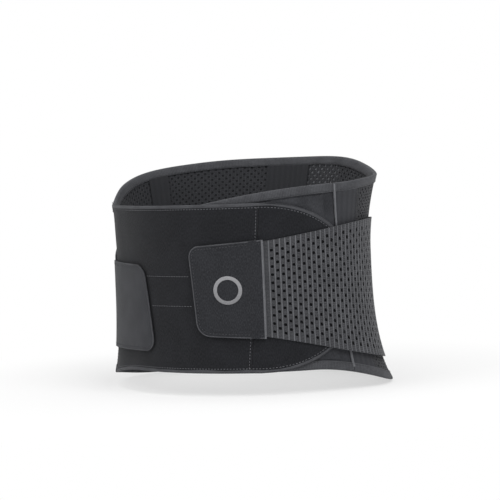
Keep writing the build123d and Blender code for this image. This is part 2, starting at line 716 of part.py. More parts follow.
def main():
    """Writes every piece, with the origin under the middle of the whole belt's box."""
    made = pieces()
    boxes = [shape.bounding_box() for shape in made.values()]
    middle_x = (min(box.min.X for box in boxes) + max(box.max.X for box in boxes)) / 2
    middle_y = (min(box.min.Y for box in boxes) + max(box.max.Y for box in boxes)) / 2
    to_origin = Vector(-middle_x, -middle_y, -min(box.min.Z for box in boxes))
    os.makedirs("parts", exist_ok=True)
    for node, shape in made.items():
        export_step(Pos(to_origin) * shape, f"parts/{node}.step")
    for joint, place in HINGES.items():
        place = place + to_origin
        print(f"hinge {joint} {place.X:.3f} {place.Y:.3f} {place.Z:.3f}")
    rest = skin(MIDDLE_BACK, 0, (HEM_INSIDE + HEM_OUTSIDE) / 2) + to_origin
    print(f"rest {rest.X:.3f} {rest.Y:.3f} {rest.Z:.3f}")
    print(f"skin_centre {to_origin.X:.3f} {to_origin.Y:.3f} {to_origin.Z:.3f}")


main()
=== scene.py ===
# %% [markdown]
# # A lumbar support belt
# The belt is closed as it is worn: a perforated back, two wings that lap in front, and two elastic
# straps that pull forward and hold by hook tabs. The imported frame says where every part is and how
# it moves. Every cloth is cut flat here and then wrapped round the same waist as the frame.

# %% Load the frame
import math

import bmesh
import bpy
import numpy as np
from mathutils import Matrix, Vector, noise


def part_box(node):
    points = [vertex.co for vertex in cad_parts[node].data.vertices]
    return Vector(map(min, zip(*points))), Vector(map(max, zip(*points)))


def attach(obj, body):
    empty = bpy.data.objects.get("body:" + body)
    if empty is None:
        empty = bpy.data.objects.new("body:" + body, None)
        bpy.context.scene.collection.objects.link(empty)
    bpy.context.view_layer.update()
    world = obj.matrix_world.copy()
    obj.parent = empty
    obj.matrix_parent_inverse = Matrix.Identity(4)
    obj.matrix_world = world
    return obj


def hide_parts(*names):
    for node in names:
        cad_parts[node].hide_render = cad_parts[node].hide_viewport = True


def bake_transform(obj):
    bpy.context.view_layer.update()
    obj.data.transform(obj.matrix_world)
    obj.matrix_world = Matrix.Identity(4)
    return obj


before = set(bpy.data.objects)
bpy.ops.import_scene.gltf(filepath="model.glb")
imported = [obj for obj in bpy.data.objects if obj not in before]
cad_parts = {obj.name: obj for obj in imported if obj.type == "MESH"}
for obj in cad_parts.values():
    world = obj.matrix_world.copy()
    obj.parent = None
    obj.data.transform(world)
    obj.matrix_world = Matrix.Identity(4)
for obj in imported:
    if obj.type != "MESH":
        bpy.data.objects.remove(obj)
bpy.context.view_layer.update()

# %% [markdown]
# ## The waist
# Cloth can't be placed by eye on a body that curves both ways. One surface does it all: an ellipse
# in plan that flares above and below the waist. A place is an angle round the ellipse and a height.
# Angle 0 is the wearer's left, 90 the middle of the back, 180 the right and 270 the front. Pattern
# sizes are in millimetres, and only the last step turns them into metres.

# %% The waist's size and shape
HALF_WIDTH, HALF_DEPTH, WAIST = 135.0, 98.5, 138.0
TOP = 229.0
TOP_FLARE = (5.4, 17.5)
BOTTOM_FLARE = (7.3, 20.5)
TOP_POWER, BOTTOM_POWER = 1.8, 3.15
FLARE_FROM, FLARE_TO = 331.0, 366.0
HEM_OUTSIDE = 3.4
FRONT_TAB_LOW, FRONT_TAB_HIGH = 56.0, 152.5

spine_low, spine_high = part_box("spine_band")
CENTRE = 1000 * np.array([
    (spine_low.x + spine_high.x) / 2,
    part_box("bottom_hem")[1].y - (HALF_DEPTH + BOTTOM_FLARE[1] + HEM_OUTSIDE) / 1000,
    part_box("front_tab")[0].z - FRONT_TAB_LOW / 1000,
])
print("middle of the waist, mm:", np.round(CENTRE, 2))


# %% Places on the waist
def smooth_step(value, low, high):
    share = np.clip((np.asarray(value, float) - low) / (high - low), 0, 1)
    return share * share * (3 - 2 * share)


def flare(angle, height):
    """How far the body stands out from its waist, for every place given."""
    low, high = (math.sin(math.radians(a)) for a in (FLARE_FROM, FLARE_TO))
    rear = smooth_step(np.sin(np.radians(angle)), low, high)
    above = np.clip((height - WAIST) / (TOP - WAIST), 0, None) ** TOP_POWER
    below = np.clip((WAIST - height) / WAIST, 0, None) ** BOTTOM_POWER
    return above * (TOP_FLARE[0] + (TOP_FLARE[1] - TOP_FLARE[0]) * rear) + below * (
        BOTTOM_FLARE[0] + (BOTTOM_FLARE[1] - BOTTOM_FLARE[0]) * rear
    )


def ring_point(angle, height, offset=0.0):
    """Points in millimetres from the middle of the waist opening."""
    angle, height, offset = np.broadcast_arrays(*(np.asarray(v, float) for v in (angle, height, offset)))
    turn = np.radians(angle)
    out = np.stack([np.cos(turn) / HALF_WIDTH, np.sin(turn) / HALF_DEPTH, 0 * turn], -1)
    out /= np.linalg.norm(out, axis=-1, keepdims=True)
    skin = np.stack([HALF_WIDTH * np.cos(turn), HALF_DEPTH * np.sin(turn), height], -1)
    return skin + out * (offset + flare(angle, height))[..., None]


def on_waist(angle, height, offset=0.0):
    """The same points in the frame, in metres."""
    return (ring_point(angle, height, offset) + CENTRE) / 1000


# %% Lengths of cloth round the waist
TABLE_ANGLES = np.arange(-60.0, 481.0, 0.1)
turns = np.radians(TABLE_ANGLES)
speeds = np.hypot(HALF_WIDTH * np.sin(turns), HALF_DEPTH * np.cos(turns)) * math.radians(0.1)
TABLE_LENGTHS = np.cumsum(speeds)
TABLE_LENGTHS -= np.interp(270.0, TABLE_ANGLES, TABLE_LENGTHS)


def length_at(angle):
    return np.interp(angle, TABLE_ANGLES, TABLE_LENGTHS)


def angle_at(length):
    return np.interp(length, TABLE_LENGTHS, TABLE_ANGLES)


def moved(angle, length):
    """The angle that lies this length of cloth further round."""
    return angle_at(length_at(angle) + length)


print("once round the waist, mm:", round(float(length_at(360) - length_at(0))))

# %% [markdown]
# ## Edges and seams
# The top edge sinks from the back to the front and the bottom edge climbs. Each is drawn as a few
# heights in the side view, with a smooth line through them, as a pattern cutter does.


# %% Lines through a few heights
def smooth_line(*points):
    """A line through (place, height) points, level at both ends."""
    places, heights = np.array(points, float).T
    steps, rises = np.diff(places), np.diff(heights)
    rows, sides = np.eye(len(places)), np.zeros(len(places))
    for i in range(1, len(places) - 1):
        before, after = 1 / steps[i - 1], 1 / steps[i]
        rows[i, i - 1 : i + 2] = before, 2 * (before + after), after
        sides[i] = 3 * (rises[i - 1] * before**2 + rises[i] * after**2)
    slopes = np.linalg.solve(rows, sides)

    def height(place):
        place = np.clip(place, places[0], places[-1])
        i = np.clip(np.searchsorted(places, place) - 1, 0, len(steps) - 1)
        t = (place - places[i]) / steps[i]
        return (
            heights[i] * (1 + 2 * t) * (1 - t) ** 2 + heights[i + 1] * t * t * (3 - 2 * t)
            + steps[i] * (slopes[i] * t * (1 - t) ** 2 - slopes[i + 1] * t * t * (1 - t))
        )

    return height


def leaning(angle, lean):
    """A seam that leans round the belt as it climbs, in degrees for each millimetre."""
    return lambda height: angle + lean * (height - WAIST)


def followed(line, angle, axis=1):
    """The height at which the waist's surface meets a line of the side view, or of the front view."""
    height = np.full_like(np.asarray(angle, float), WAIST)
    for _ in range(5):
        height = line(ring_point(angle, height)[..., axis])
    return height


# %% The belt's edges
LEFT_SEAM, LEFT_BAND = leaning(340.3, -0.038), leaning(356.3, -0.038)
RIGHT_BAND, RIGHT_SEAM = 187.0, 200.0
OVER_SEAM = leaning(300.3, 0.036)
UNDER_END, OVER_TOP, FRONT_BOTTOM = 262.0, 188.5, 22.5
left_corner = ring_point(LEFT_SEAM(204.5), 204.5)
under_corner = ring_point(UNDER_END, 182.0)
LEFT_TOP = smooth_line((left_corner[1], 204.5), (0, 208), (42, 211), (84, 221), (114, TOP))
RIGHT_TOP = smooth_line((-36, OVER_TOP), (0, 202.5), (42, 218.5), (84, 226), (114, TOP))
LEFT_BOTTOM = smooth_line((-62, FRONT_BOTTOM), (0, 9), (42, 0.7), (84, 0))
RIGHT_BOTTOM = smooth_line((-94, FRONT_BOTTOM), (-60, 16), (0, 6), (42, 0.7), (84, 0))
UNDER_TOP = np.poly1d(np.polyfit(
    [under_corner[0], 37, 77, left_corner[0]], [182.0, 192.5, 199.0, 204.5], 3))


def on_the_left(angle):
    return np.cos(np.radians(angle)) > 0


def belt_top(angle):
    return np.where(on_the_left(angle), followed(LEFT_TOP, angle), followed(RIGHT_TOP, angle))


def belt_bottom(angle):
    return np.where(on_the_left(angle), followed(LEFT_BOTTOM, angle), followed(RIGHT_BOTTOM, angle))


def under_top(angle):
    return followed(UNDER_TOP, angle, axis=0)


def under_bottom(angle):
    return followed(LEFT_BOTTOM, angle)


print("height at the back and front, mm:", float(belt_top(90.0)), float(belt_top(205.0)))

# %% [markdown]
# ## A cut of cloth
# A cut lies between two seams and two edges. Its places are given by how far across and how far up
# they are, from 0 to 1, so a flat grid can be laid on it. Rounded corners shorten the rows near the
# edges, and crowding puts more rows there, so that the corners come out smooth.


# %% Cuts
def as_line(value):
    return value if callable(value) else lambda place: np.full_like(np.asarray(place, float), value)


def shifted(line, amount):
    """The same seam, edge or layer, moved by this much."""
    return lambda place: line(place) + amount


def hemmed(low, high, by=1.4):
    """Two edges drawn in by this much, so that a hem can go round them."""
    return shifted(low, by), shifted(high, -by)


class Cut:
    """A piece of cloth between two seams and two edges, lying at a distance outside the waist."""

    def __init__(self, start, end, low, high, inside=0.0, round_start=0.0, round_end=0.0):
        self.start, self.end, self.low, self.high = (as_line(v) for v in (start, end, low, high))
        self.inside = as_line(inside)
        self.round_start, self.round_end = round_start, round_end

    def spots(self, across, up):
        """The angles and heights of these places."""
        across, up = np.broadcast_arrays(np.asarray(across, float), np.asarray(up, float))
        crowded = self.round_start or self.round_end
        if crowded:
            up = (1 - np.cos(math.pi * up)) / 2
        height = np.full_like(up, WAIST)
        for _ in range(5):
            start, end = self.start(height), self.end(height)
            angle = start + (end - start) * across
            tall = self.high(angle) - self.low(angle)
            near = np.minimum(up, 1 - up) * tall
            if crowded:
                start = moved(start, self.corner(near, self.round_start))
                end = moved(end, -self.corner(near, self.round_end))
                angle = start + (end - start) * across
            height = self.low(angle) + tall * up
        return angle, height

    @staticmethod
    def corner(near, radius):
        """How much a rounded corner takes off a row this near to the edge."""
        short = np.clip(radius - near, 0, None)
        return radius - np.sqrt(np.clip(radius * radius - short * short, 0, None))

    def line(self, side, count=60, begin=0.0, finish=1.0):
        """One side as (angle, height) points, from begin to finish."""
        run = np.linspace(begin, finish, count)
        across, up = {"low": (run, 0), "high": (run, 1), "start": (0, run), "end": (1, run)}[side]
        return np.stack(self.spots(across, up), -1)

    def flat_size(self):
        """The cut's height, length and area before it was wrapped, in metres."""
        up = np.linspace(0, 1, 81)
        starts, ends = self.spots(0, up), self.spots(1, up)
        long = length_at(ends[0]) - length_at(starts[0])
        middle = (starts[1] + ends[1]) / 2
        area = float(np.sum((long[1:] + long[:-1]) / 2 * np.diff(middle)))
        tall = float(middle.max() - middle.min())
        return tall / 1000, float(long.max()) / 1000, area / 1e6


# %% [markdown]
# ## Wrapping
# The cloth is made flat, with its holes cut and its thickness given, and is then laid on its cut.
# Two UV maps go with it: one in metres along the cloth, for the weave, and one that counts the grid's
# cells, so that threads can run exactly between the holes.


# %% Finish a piece
SHARP_FROM = math.radians(48)


def placed(name, data):
    """Puts data into the scene as an object."""
    made = bpy.data.objects.new(name, data)
    bpy.context.scene.collection.objects.link(made)
    return made


def mapped(bm, layer, spot):
    """Writes a UV map. Spot says where each vertex lies on it."""
    uv = bm.loops.layers.uv.new(layer)
    for face in bm.faces:
        for loop in face.loops:
            loop[uv].uv = spot(loop.vert)


def finished(name, bm, finish, slot):
    """Makes an object of a mesh that is already in place."""
    mesh = bpy.data.meshes.new(name)
    bm.to_mesh(mesh)
    bm.free()
    mesh.materials.append(finish)
    mesh.shade_smooth()
    mesh.set_sharp_from_angle(angle=SHARP_FROM)
    piece = placed(name, mesh)
    print(f"{name}: {len(mesh.vertices)} points, {len(mesh.polygons)} faces")
    return piece


def waved(angle, height, depth, size, seed):
    """Gentle unevenness of the cloth, in millimetres."""
    if not depth:
        return 0.0
    places = zip(length_at(angle), height)
    return depth * np.array([noise.noise(Vector((s / size, z / size, seed))) for s, z in places])


def wrapped(name, bm, cut, columns, rows, finish, slot, wave=0.0, wave_size=24.0, seed=1.0):
    """Lays a flat piece, columns by rows in size and as thick as it is in z, on its cut."""
    verts = list(bm.verts)
    flat = np.array([v.co for v in verts])
    angle, height = cut.spots(flat[:, 0] / columns, flat[:, 1] / rows)
    out = cut.inside(angle) + flat[:, 2] + waved(angle, height, wave, wave_size, seed)
    for vert, place in zip(verts, on_waist(angle, height, out)):
        vert.co = place
    bm.verts.index_update()
    along = length_at(angle) / 1000
    mapped(bm, "cloth", lambda v: (along[v.index], height[v.index] / 1000))
    mapped(bm, "cells", lambda v: flat[v.index, :2])
    return finished(name, bm, finish, slot)


# %% Flat cloth, whole or perforated
def flat_grid(columns, rows):
    bm = bmesh.new()
    bmesh.ops.create_grid(bm, x_segments=columns, y_segments=rows, size=0.5)
    bmesh.ops.translate(bm, vec=(0.5, 0.5, 0), verts=bm.verts)
    bmesh.ops.scale(bm, vec=(columns, rows, 1), verts=bm.verts)
    return bm


def given_thickness(bm, thickness):
    """Extrudes flat cloth to its thickness and closes it."""
    raised = bmesh.ops.extrude_face_region(bm, geom=bm.faces[:])["geom"]
    top = [part for part in raised if isinstance(part, bmesh.types.BMVert)]
    bmesh.ops.translate(bm, vec=(0, 0, thickness), verts=top)
    bmesh.ops.recalc_face_normals(bm, faces=bm.faces)
    return bm


def plain_cloth(columns, rows, thickness):
    return given_thickness(flat_grid(columns, rows), thickness)


def perforated_cloth(columns, rows, thickness, has_hole, radius, cuts):
    """Cloth with a round hole in every second cell, like the black squares of a chessboard."""
    bm = flat_grid(columns, rows)
    holes = []
    for face in bm.faces:
        column, row = (int(part) for part in face.calc_center_median()[:2])
        if (column + row) % 2 == 0 and has_hole(column, row):
            holes.append(face)
    bmesh.ops.inset_individual(bm, faces=holes, thickness=0.2, use_even_offset=True)
    rims = list({edge for face in holes for edge in face.edges})
    bmesh.ops.delete(bm, geom=holes, context="FACES_ONLY")
    cut = bmesh.ops.subdivide_edges(bm, edges=rims, cuts=cuts)["geom_inner"]
    on_rim = {v for edge in rims if edge.is_valid for v in edge.verts}
    on_rim |= {part for part in cut if isinstance(part, bmesh.types.BMVert)}
    for vert in on_rim:
        middle = Vector((math.floor(vert.co.x) + 0.5, math.floor(vert.co.y) + 0.5, 0))
        spoke = (vert.co - middle).normalized()
        vert.co = middle + Vector((spoke.x * radius[0], spoke.y * radius[1], 0))
    return given_thickness(bm, thickness)


# %% [markdown]
# ## Trimmings
# Hems, bindings, pipings and rows of stitches all run along a line on the cloth. A trimming is a
# closed section carried along its line. Its sideways direction is to the right of the way it goes,
# so a line that runs round a piece like a clock's hand has the cloth on that side.


# %% Sections along a line
def evenly(line, step):
    """The same line with points this far apart, as lengths and heights in millimetres."""
    line = np.asarray(line, float)
    flat = np.stack([length_at(line[:, 0]), line[:, 1]], -1)
    gaps = np.hypot(*np.diff(flat, axis=0).T)
    keep = np.concatenate([[True], gaps > 1e-6])
    flat = flat[keep]
    run = np.concatenate([[0], np.cumsum(np.hypot(*np.diff(flat, axis=0).T))])
    count = max(2, round(run[-1] / step) + 1)
    at = np.linspace(0, run[-1], count)
    return np.stack([np.interp(at, run, flat[:, 0]), np.interp(at, run, flat[:, 1])], -1)


def to_the_right(flat):
    """The direction to the right of the way the line goes, at each point."""
    way = np.gradient(flat, axis=0)
    way /= np.linalg.norm(way, axis=1, keepdims=True)
    return np.stack([way[:, 1], -way[:, 0]], -1)


def beside(line, distance, step=2.0):
    """A line that runs this far to the right of another."""
    flat = evenly(line, step)
    flat = flat + to_the_right(flat) * distance
    return np.stack([angle_at(flat[:, 0]), flat[:, 1]], -1)


def trimming(name, line, section, base, finish, slot, step=3.0, wave=0.0):
    """A closed section of (sideways, outwards) points in millimetres, carried along a line."""
    flat, section = evenly(line, step), np.array(section)
    right, rows = to_the_right(flat), len(section)
    bm = flat_grid(len(flat) - 1, rows)
    verts = list(bm.verts)
    grid = np.round(np.array([v.co for v in verts])).astype(int)
    i, j = grid[:, 0], grid[:, 1] % rows
    places = flat[i] + right[i] * section[j, :1]
    angle = angle_at(places[:, 0])
    out = as_line(base)(angle) + section[j, 1] + waved(angle, places[:, 1], wave, 9.0, 7.0)
    for vert, place in zip(verts, on_waist(angle, places[:, 1], out)):
        vert.co = place
    bm.verts.index_update()
    around = np.concatenate([[0], np.cumsum(np.hypot(*(np.roll(section, -1, 0) - section).T))])
    mapped(bm, "cloth", lambda v: (i[v.index] * step / 1000, around[grid[v.index, 1]] / 1000))
    bmesh.ops.remove_doubles(bm, verts=bm.verts, dist=1e-6)
    open_ends = [edge for edge in bm.edges if edge.is_boundary]
    bmesh.ops.holes_fill(bm, edges=open_ends, sides=0)
    bmesh.ops.recalc_face_normals(bm, faces=bm.faces)
    return finished(name, bm, finish, slot)


def round_section(radius, out, sides=8):
    turns = [2 * math.pi * k / sides for k in range(sides)]
    return [(radius * math.cos(t), out + radius * math.sin(t)) for t in turns]


# %% Rows of stitches
STITCH_LENGTH, STITCH_EVERY, STITCH_WIDTH, STITCH_HEIGHT = 2.3, 3.1, 0.42, 0.3


def stitched(name, rows, finish, slot):
    """Separate stitches that lie along each (line, base) row."""
    bm = bmesh.new()
    for line, base in rows:
        flat = evenly(line, STITCH_EVERY)
        angle, height = angle_at(flat[:, 0]), flat[:, 1]
        base = as_line(base)(angle)
        middle = on_waist(angle, height, base)
        ahead = np.gradient(middle, axis=0)
        out = on_waist(angle, height, base + 1) - middle
        for place, way, up in zip(middle, ahead, out):
            way, up = Vector(way).normalized(), Vector(up).normalized()
            side = up.cross(way).normalized()
            up = way.cross(side)
            axes = [way * STITCH_LENGTH / 2, side * STITCH_WIDTH, up * STITCH_HEIGHT]
            turn = Matrix(axes).transposed().to_4x4()
            turn = Matrix.Translation(place) @ Matrix.Scale(0.001, 4) @ turn
            bmesh.ops.create_icosphere(bm, subdivisions=1, radius=1, matrix=turn)
    mapped(bm, "cloth", lambda v: (v.co.x + v.co.y, v.co.z))
    bmesh.ops.recalc_face_normals(bm, faces=bm.faces)
    return finished(name, bm, finish, slot)


# %% [markdown]
# ## Writing a material as sums
# A woven surface is a few waves and some noise added together, which is easier to read as sums than
# as boxes and wires. One small class holds a socket and gives it plus, minus, times and divide.


# %% Sockets that add and multiply
def joined(operation, swapped=False):
    """An operator that joins a field and another value, in this order or swapped."""

    def operator(self, other):
        return self.maths(operation, *((other, self) if swapped else (self, other)))

    return operator


class Field:
    """A number that varies over the surface."""

    def __init__(self, cloth, socket):
        self.cloth, self.socket = cloth, socket

    def maths(self, operation, first, second):
        return self.cloth.node("Math", {"operation": operation}, {0: first, 1: second})

    __add__, __radd__ = joined("ADD"), joined("ADD", True)
    __sub__, __rsub__ = joined("SUBTRACT"), joined("SUBTRACT", True)
    __mul__, __rmul__ = joined("MULTIPLY"), joined("MULTIPLY", True)
    __truediv__ = joined("DIVIDE")

    def between(self, low, high):
        """0 below low, 1 above high and smooth in between."""
        ends = {"Value": self, "From Min": low, "From Max": high}
        return self.cloth.node("MapRange", {"interpolation_type": "SMOOTHSTEP"}, ends)

    def from_thread(self):
        """0 on each whole number and 0.5 halfway between two."""
        return self.maths("PINGPONG", self, 0.5)


class Cloth:
    """A material that is built from fields."""

    def __init__(self, name):
        self.material = bpy.data.materials.new(name)
        self.material.use_nodes = True
        self.tree = self.material.node_tree
        self.tree.nodes.clear()

    def node(self, kind, settings=None, inputs=None, output=0):
        """Any node: its settings first, then the values or fields of its sockets."""
        made = self.tree.nodes.new("ShaderNode" + kind)
        for key, value in (settings or {}).items():
            setattr(made, key, value)
        for key, value in (inputs or {}).items():
            if isinstance(value, Field):
                self.tree.links.new(value.socket, made.inputs[key])
            else:
                made.inputs[key].default_value = value
        return Field(self, made.outputs[output])

    def place(self, size=(1.0, 1.0), layer="cloth"):
        """The place on the cloth, multiplied by this size. The map named cloth counts millimetres."""
        times = 1000 if layer == "cloth" else 1
        spot = self.node("UVMap", {"uv_map": layer})
        scale = (size[0] * times, size[1] * times, 1)
        return self.node("VectorMath", {"operation": "MULTIPLY"}, {0: spot, 1: scale})

    def parts(self, spot):
        return [self.node("SeparateXYZ", None, {0: spot}, output) for output in (0, 1)]

    def grain(self, size, detail=3.0):
        """Noise whose spots are about 1/size millimetres across and up."""
        inputs = {"Vector": self.place(size), "Scale": 1.0, "Detail": detail}
        return self.node("TexNoise", {"noise_dimensions": "2D"}, inputs)

    def own_place(self):
        """The place in the object's own space, in metres."""
        return self.node("TexCoord", output=3)

    def mixed(self, share, first, second):
        return self.node("Mix", {"data_type": "RGBA"}, {0: share, 6: first, 7: second}, 2)

    def surface(self, colour, roughness, height=None, depth=0.0003, **constants):
        """Ends the material. Depth is the height of the relief, in metres."""
        inputs = {"Base Color": colour, "Roughness": roughness}
        inputs.update({key.replace("_", " "): value for key, value in constants.items()})
        if height is not None:
            relief = {"Strength": 1.0, "Distance": depth, "Height": height}
            inputs["Normal"] = self.node("Bump", None, relief)
        self.node_output(self.node("BsdfPrincipled", None, inputs))
        return self.material

    def node_output(self, shader):
        made = self.tree.nodes.new("ShaderNodeOutputMaterial")
        self.tree.links.new(shader.socket, made.inputs["Surface"])


def shade(level, warm=0.0):
    """A near-black or grey given as a screen level from 0 to 255, a little blue as dyed nylon is."""
    parts = [level - 1 + warm, level, level + 4 - warm]
    parts = [max(0.0, part) / 255 for part in parts]
    linear = [p / 12.92 if p <= 0.04045 else ((p + 0.055) / 1.055) ** 2.4 for p in parts]
    return (*linear, 1.0)


# %% [markdown]
# ## The cloths
# Almost everything here is black, so the cloths differ by weave and by how they catch light. Brushed
# pile is dull and mottled and the elastic has pale threads between its holes. The tapes have fine
# cross ribs. Every weave is drawn at its real size in millimetres.


# %% Brushed pile
def brushed(name, dark, light, streak=0.55, sheen=0.12):
    cloth = Cloth(name)
    fibres = cloth.grain((1.5, 0.42), 4.0)
    fuzz = cloth.grain((2.6, 2.6), 2.0)
    patches = cloth.grain((0.05, 0.04), 3.0)
    lit = fibres.between(0.34, 0.72) * streak + fuzz.between(0.35, 0.7) * 0.25
    lit = lit + patches.between(0.3, 0.75) * (0.75 - streak)
    colour = cloth.mixed(lit, shade(dark), shade(light))
    rough = 0.86 + patches * 0.1
    return cloth.surface(
        colour, rough, fibres * 0.7 + fuzz * 0.3, 0.00035,
        Sheen_Weight=sheen, Sheen_Roughness=0.45, Specular_IOR_Level=0.25,
    )


wing_finish = brushed("wing_pile", 12, 38)
under_finish = brushed("under_wing_pile", 30, 62, streak=0.3, sheen=0.2)
loop_finish = brushed("loop_pile", 34, 66, streak=0.35, sheen=0.2)
tab_finish = brushed("tab_pile", 24, 54, streak=0.6)
side_tab_finish = brushed("side_tab_cloth", 43, 57, streak=0.2, sheen=0.15)


# %% Perforated elastic and back mesh
def threaded(name, dark, light, rungs, sharp=1.0):
    """Threads run up the cloth between the columns of holes, and rungs cross between them."""
    cloth = Cloth(name)
    across, up = cloth.parts(cloth.place(layer="cells"))
    fuzz = cloth.grain((1.9, 1.9), 3.0)
    worn = cloth.grain((0.05, 0.05), 2.0)
    rib = 1 - across.from_thread().between(0.03, 0.2)
    rung = (1 - (up * rungs).from_thread().between(0.06, 0.3)) * across.from_thread().between(0.1, 0.3)
    lit = rib * 0.62 * sharp + rung * 0.34 + fuzz.between(0.35, 0.75) * 0.34
    lit = lit * (0.62 + worn * 0.55)
    colour = cloth.mixed(lit, shade(dark), shade(light))
    return cloth.surface(
        colour, 0.72 + fuzz * 0.16, rib * 0.8 + rung * 0.5 + fuzz * 0.2, 0.00045,
        Sheen_Weight=0.12, Sheen_Roughness=0.4, Specular_IOR_Level=0.35,
    )


elastic_finish = threaded("perforated_elastic", 26, 112, 3.0)
mesh_finish = threaded("back_mesh_knit", 30, 62, 2.0, sharp=0.5)


# %% Woven tapes and bindings
def taped(name, dark, light, pitch, depth=0.00022, sheen=0.12):
    """Fine ribs across a tape, this many millimetres apart, broken up as knitted loops are."""
    cloth = Cloth(name)
    across, up = cloth.parts(cloth.place((1 / pitch[0], 1 / pitch[1])))
    loops = across.from_thread().between(0.08, 0.42) * up.from_thread().between(0.05, 0.4)
    fuzz, patches = cloth.grain((1.6, 1.6), 3.0), cloth.grain((0.07, 0.07), 2.0)
    lit = loops * 0.5 + fuzz.between(0.35, 0.7) * 0.3 + patches.between(0.3, 0.7) * 0.2
    colour = cloth.mixed(lit, shade(dark), shade(light))
    return cloth.surface(
        colour, 0.7 + patches * 0.2, loops + fuzz * 0.4, depth,
        Sheen_Weight=sheen, Sheen_Roughness=0.4, Specular_IOR_Level=0.35,
    )


hem_finish = taped("hem_tape", 44, 92, (1.5, 1.3))
band_finish = taped("woven_band", 40, 60, (6.0, 0.8), 0.00012)
inner_band_finish = taped("inner_band", 26, 42, (6.0, 0.9), 0.00012)
rim_finish = taped("rim_binding", 40, 92, (0.9, 1.2), 0.00018)
edging_finish = taped("tab_edging", 46, 98, (0.8, 0.8), 0.00015)
piping_finish = taped("seam_piping", 82, 128, (1.1, 0.7), 0.0002)
thread_finish = taped("sewing_thread", 70, 118, (0.5, 0.5), 0.00008)
dark_thread_finish = taped("dark_thread", 40, 74, (0.5, 0.5), 0.00008)
anchor_finish = taped("anchor_tape", 34, 60, (1.0, 1.4))


# %% Hooks, rubber print and steel
def hooked():
    cloth = Cloth("hook_tape")
    across, up = cloth.parts(cloth.place((0.72, 0.72)))
    tips = across.from_thread().between(0.2, 0.45) * up.from_thread().between(0.2, 0.45)
    colour = cloth.mixed(tips, shade(12), shade(52))
    return cloth.surface(colour, 0.5 - tips * 0.15, tips, 0.0006, Specular_IOR_Level=0.5)


def print_with_painted_light():
    cloth = Cloth("badge_print")
    spot = cloth.own_place()
    height = cloth.node("SeparateXYZ", None, {0: spot}, 2)
    low, high = (corner.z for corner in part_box("front_tab_badge"))
    grain = cloth.grain((0.9, 0.9), 3.0)
    # Painted light: the print is coloured lighter towards its top, as if lit from above; the grain is the
    # print's own.
    lit = (height - low) / (high - low) * 0.6 + grain.between(0.3, 0.7) * 0.25
    colour = cloth.mixed(lit, shade(112, 1), shade(150, 1))
    return cloth.surface(colour, 0.42 + grain * 0.15, grain, 0.00008, Specular_IOR_Level=0.5)


def sprung():
    cloth = Cloth("spring_steel")
    spot = cloth.own_place()
    long = cloth.node("VectorMath", {"operation": "MULTIPLY"}, {0: spot, 1: (2200, 2200, 60)})
    brushing = cloth.node("TexNoise", None, {"Vector": long, "Scale": 1.0, "Detail": 3.0})
    colour = cloth.mixed(brushing, shade(120), shade(176))
    return cloth.surface(colour, 0.28 + brushing * 0.2, brushing, 0.00003, Metallic=1.0)


hook_finish, badge_finish, steel_finish = hooked(), print_with_painted_light(), sprung()
print("finishes:", len(bpy.data.materials))

# %% [markdown]
# ## The seams of the moving bodies
# Each wing, strap and tab turns about its own seam. Cloth doesn't turn like a door, so the first
# few millimetres of a moving piece would still follow the piece that it is sewn to, and the rest
# would turn gradually. No bend is made here: a piece on a moving body is left where it is.


# %% Where each moving body's seam lies, and what it is sewn to
BENDS = {
    "over_wing": ("belt_back", 200.0, 206.5),
    "under_wing": ("belt_back", 340.0, 333.5),
    "front_strap": ("belt_back", 417.5, 411.0),
    "front_tab": ("front_strap", 303.0, 298.5),
    "side_strap": ("over_wing", 200.2, 205.5),
    "side_tab": ("side_strap", 209.0, 213.5),
}


def carried(piece, body, *replaced):
    """Parents a piece to its body and hides what it replaces; on a moving body it is left in place, unbent.
    """
    if body in BENDS:
        parent, start, end = BENDS[body]
        places = (Vector(on_waist(angle, WAIST, 2.0)) for angle in (start, end))
        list(places)
        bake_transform(piece)
    else:
        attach(piece, body)
    if replaced:
        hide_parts(*replaced)
def declared(piece, cut):
    """Prints how large a piece of cloth was cut."""
    tall, long, area = cut.flat_size()
    print(f"{piece.name}: cut {tall:.3f} by {long:.3f} m, {area:.4f} square metres")
    return piece


def sewn(name, cut, grid, thickness, finish, slot, body, node, rests_on, **wave):
    """A whole cloth, laid on its cut and carried with its body and node; declared shows its cut size."""
    piece = wrapped(name, plain_cloth(*grid, thickness), cut, *grid, finish, slot, **wave)
    carried(piece, body, node)
    return declared(piece, cut)


# %% [markdown]
# ## The back
# The back is a thick mesh with a round hole every few millimetres, on a thin lining. The two are one
# piece here, because their holes line up. No hole is cut where a tape or a stay lies, so light comes
# through only between them, and the cloth rises a little over each stay.

# %% The perforated back
LEFT_EDGE, RIGHT_EDGE = shifted(LEFT_SEAM, -359.85), RIGHT_SEAM - 0.15
STAY_MIDDLES, STAY_RISE = (84.5, 95.5, 27.5, 152.5), 0.4
BAND_MIDDLES = {
    "spine_band": (90.0, 10.0), "outer_band_left": (27.5, 5.4), "outer_band_right": (152.5, 5.4),
}
BACK_GRID, BACK_HOLE, HEM_WIDTH = (118, 66), (0.36, 0.36), 9.0


def back_layer(drawn_in, base):
    """The cut of a layer between the side bands, which rises where a stay pushes it outwards."""

    def inside(angle):
        gaps = np.min([np.abs(length_at(angle) - length_at(stay)) for stay in STAY_MIDDLES], axis=0)
        return base + STAY_RISE * (1 - smooth_step(gaps, 4.0, 9.0))

    edges = hemmed(belt_bottom, belt_top, drawn_in)
    return Cut(shifted(LEFT_BAND, -359.8), RIGHT_BAND - 0.2, *edges, inside)


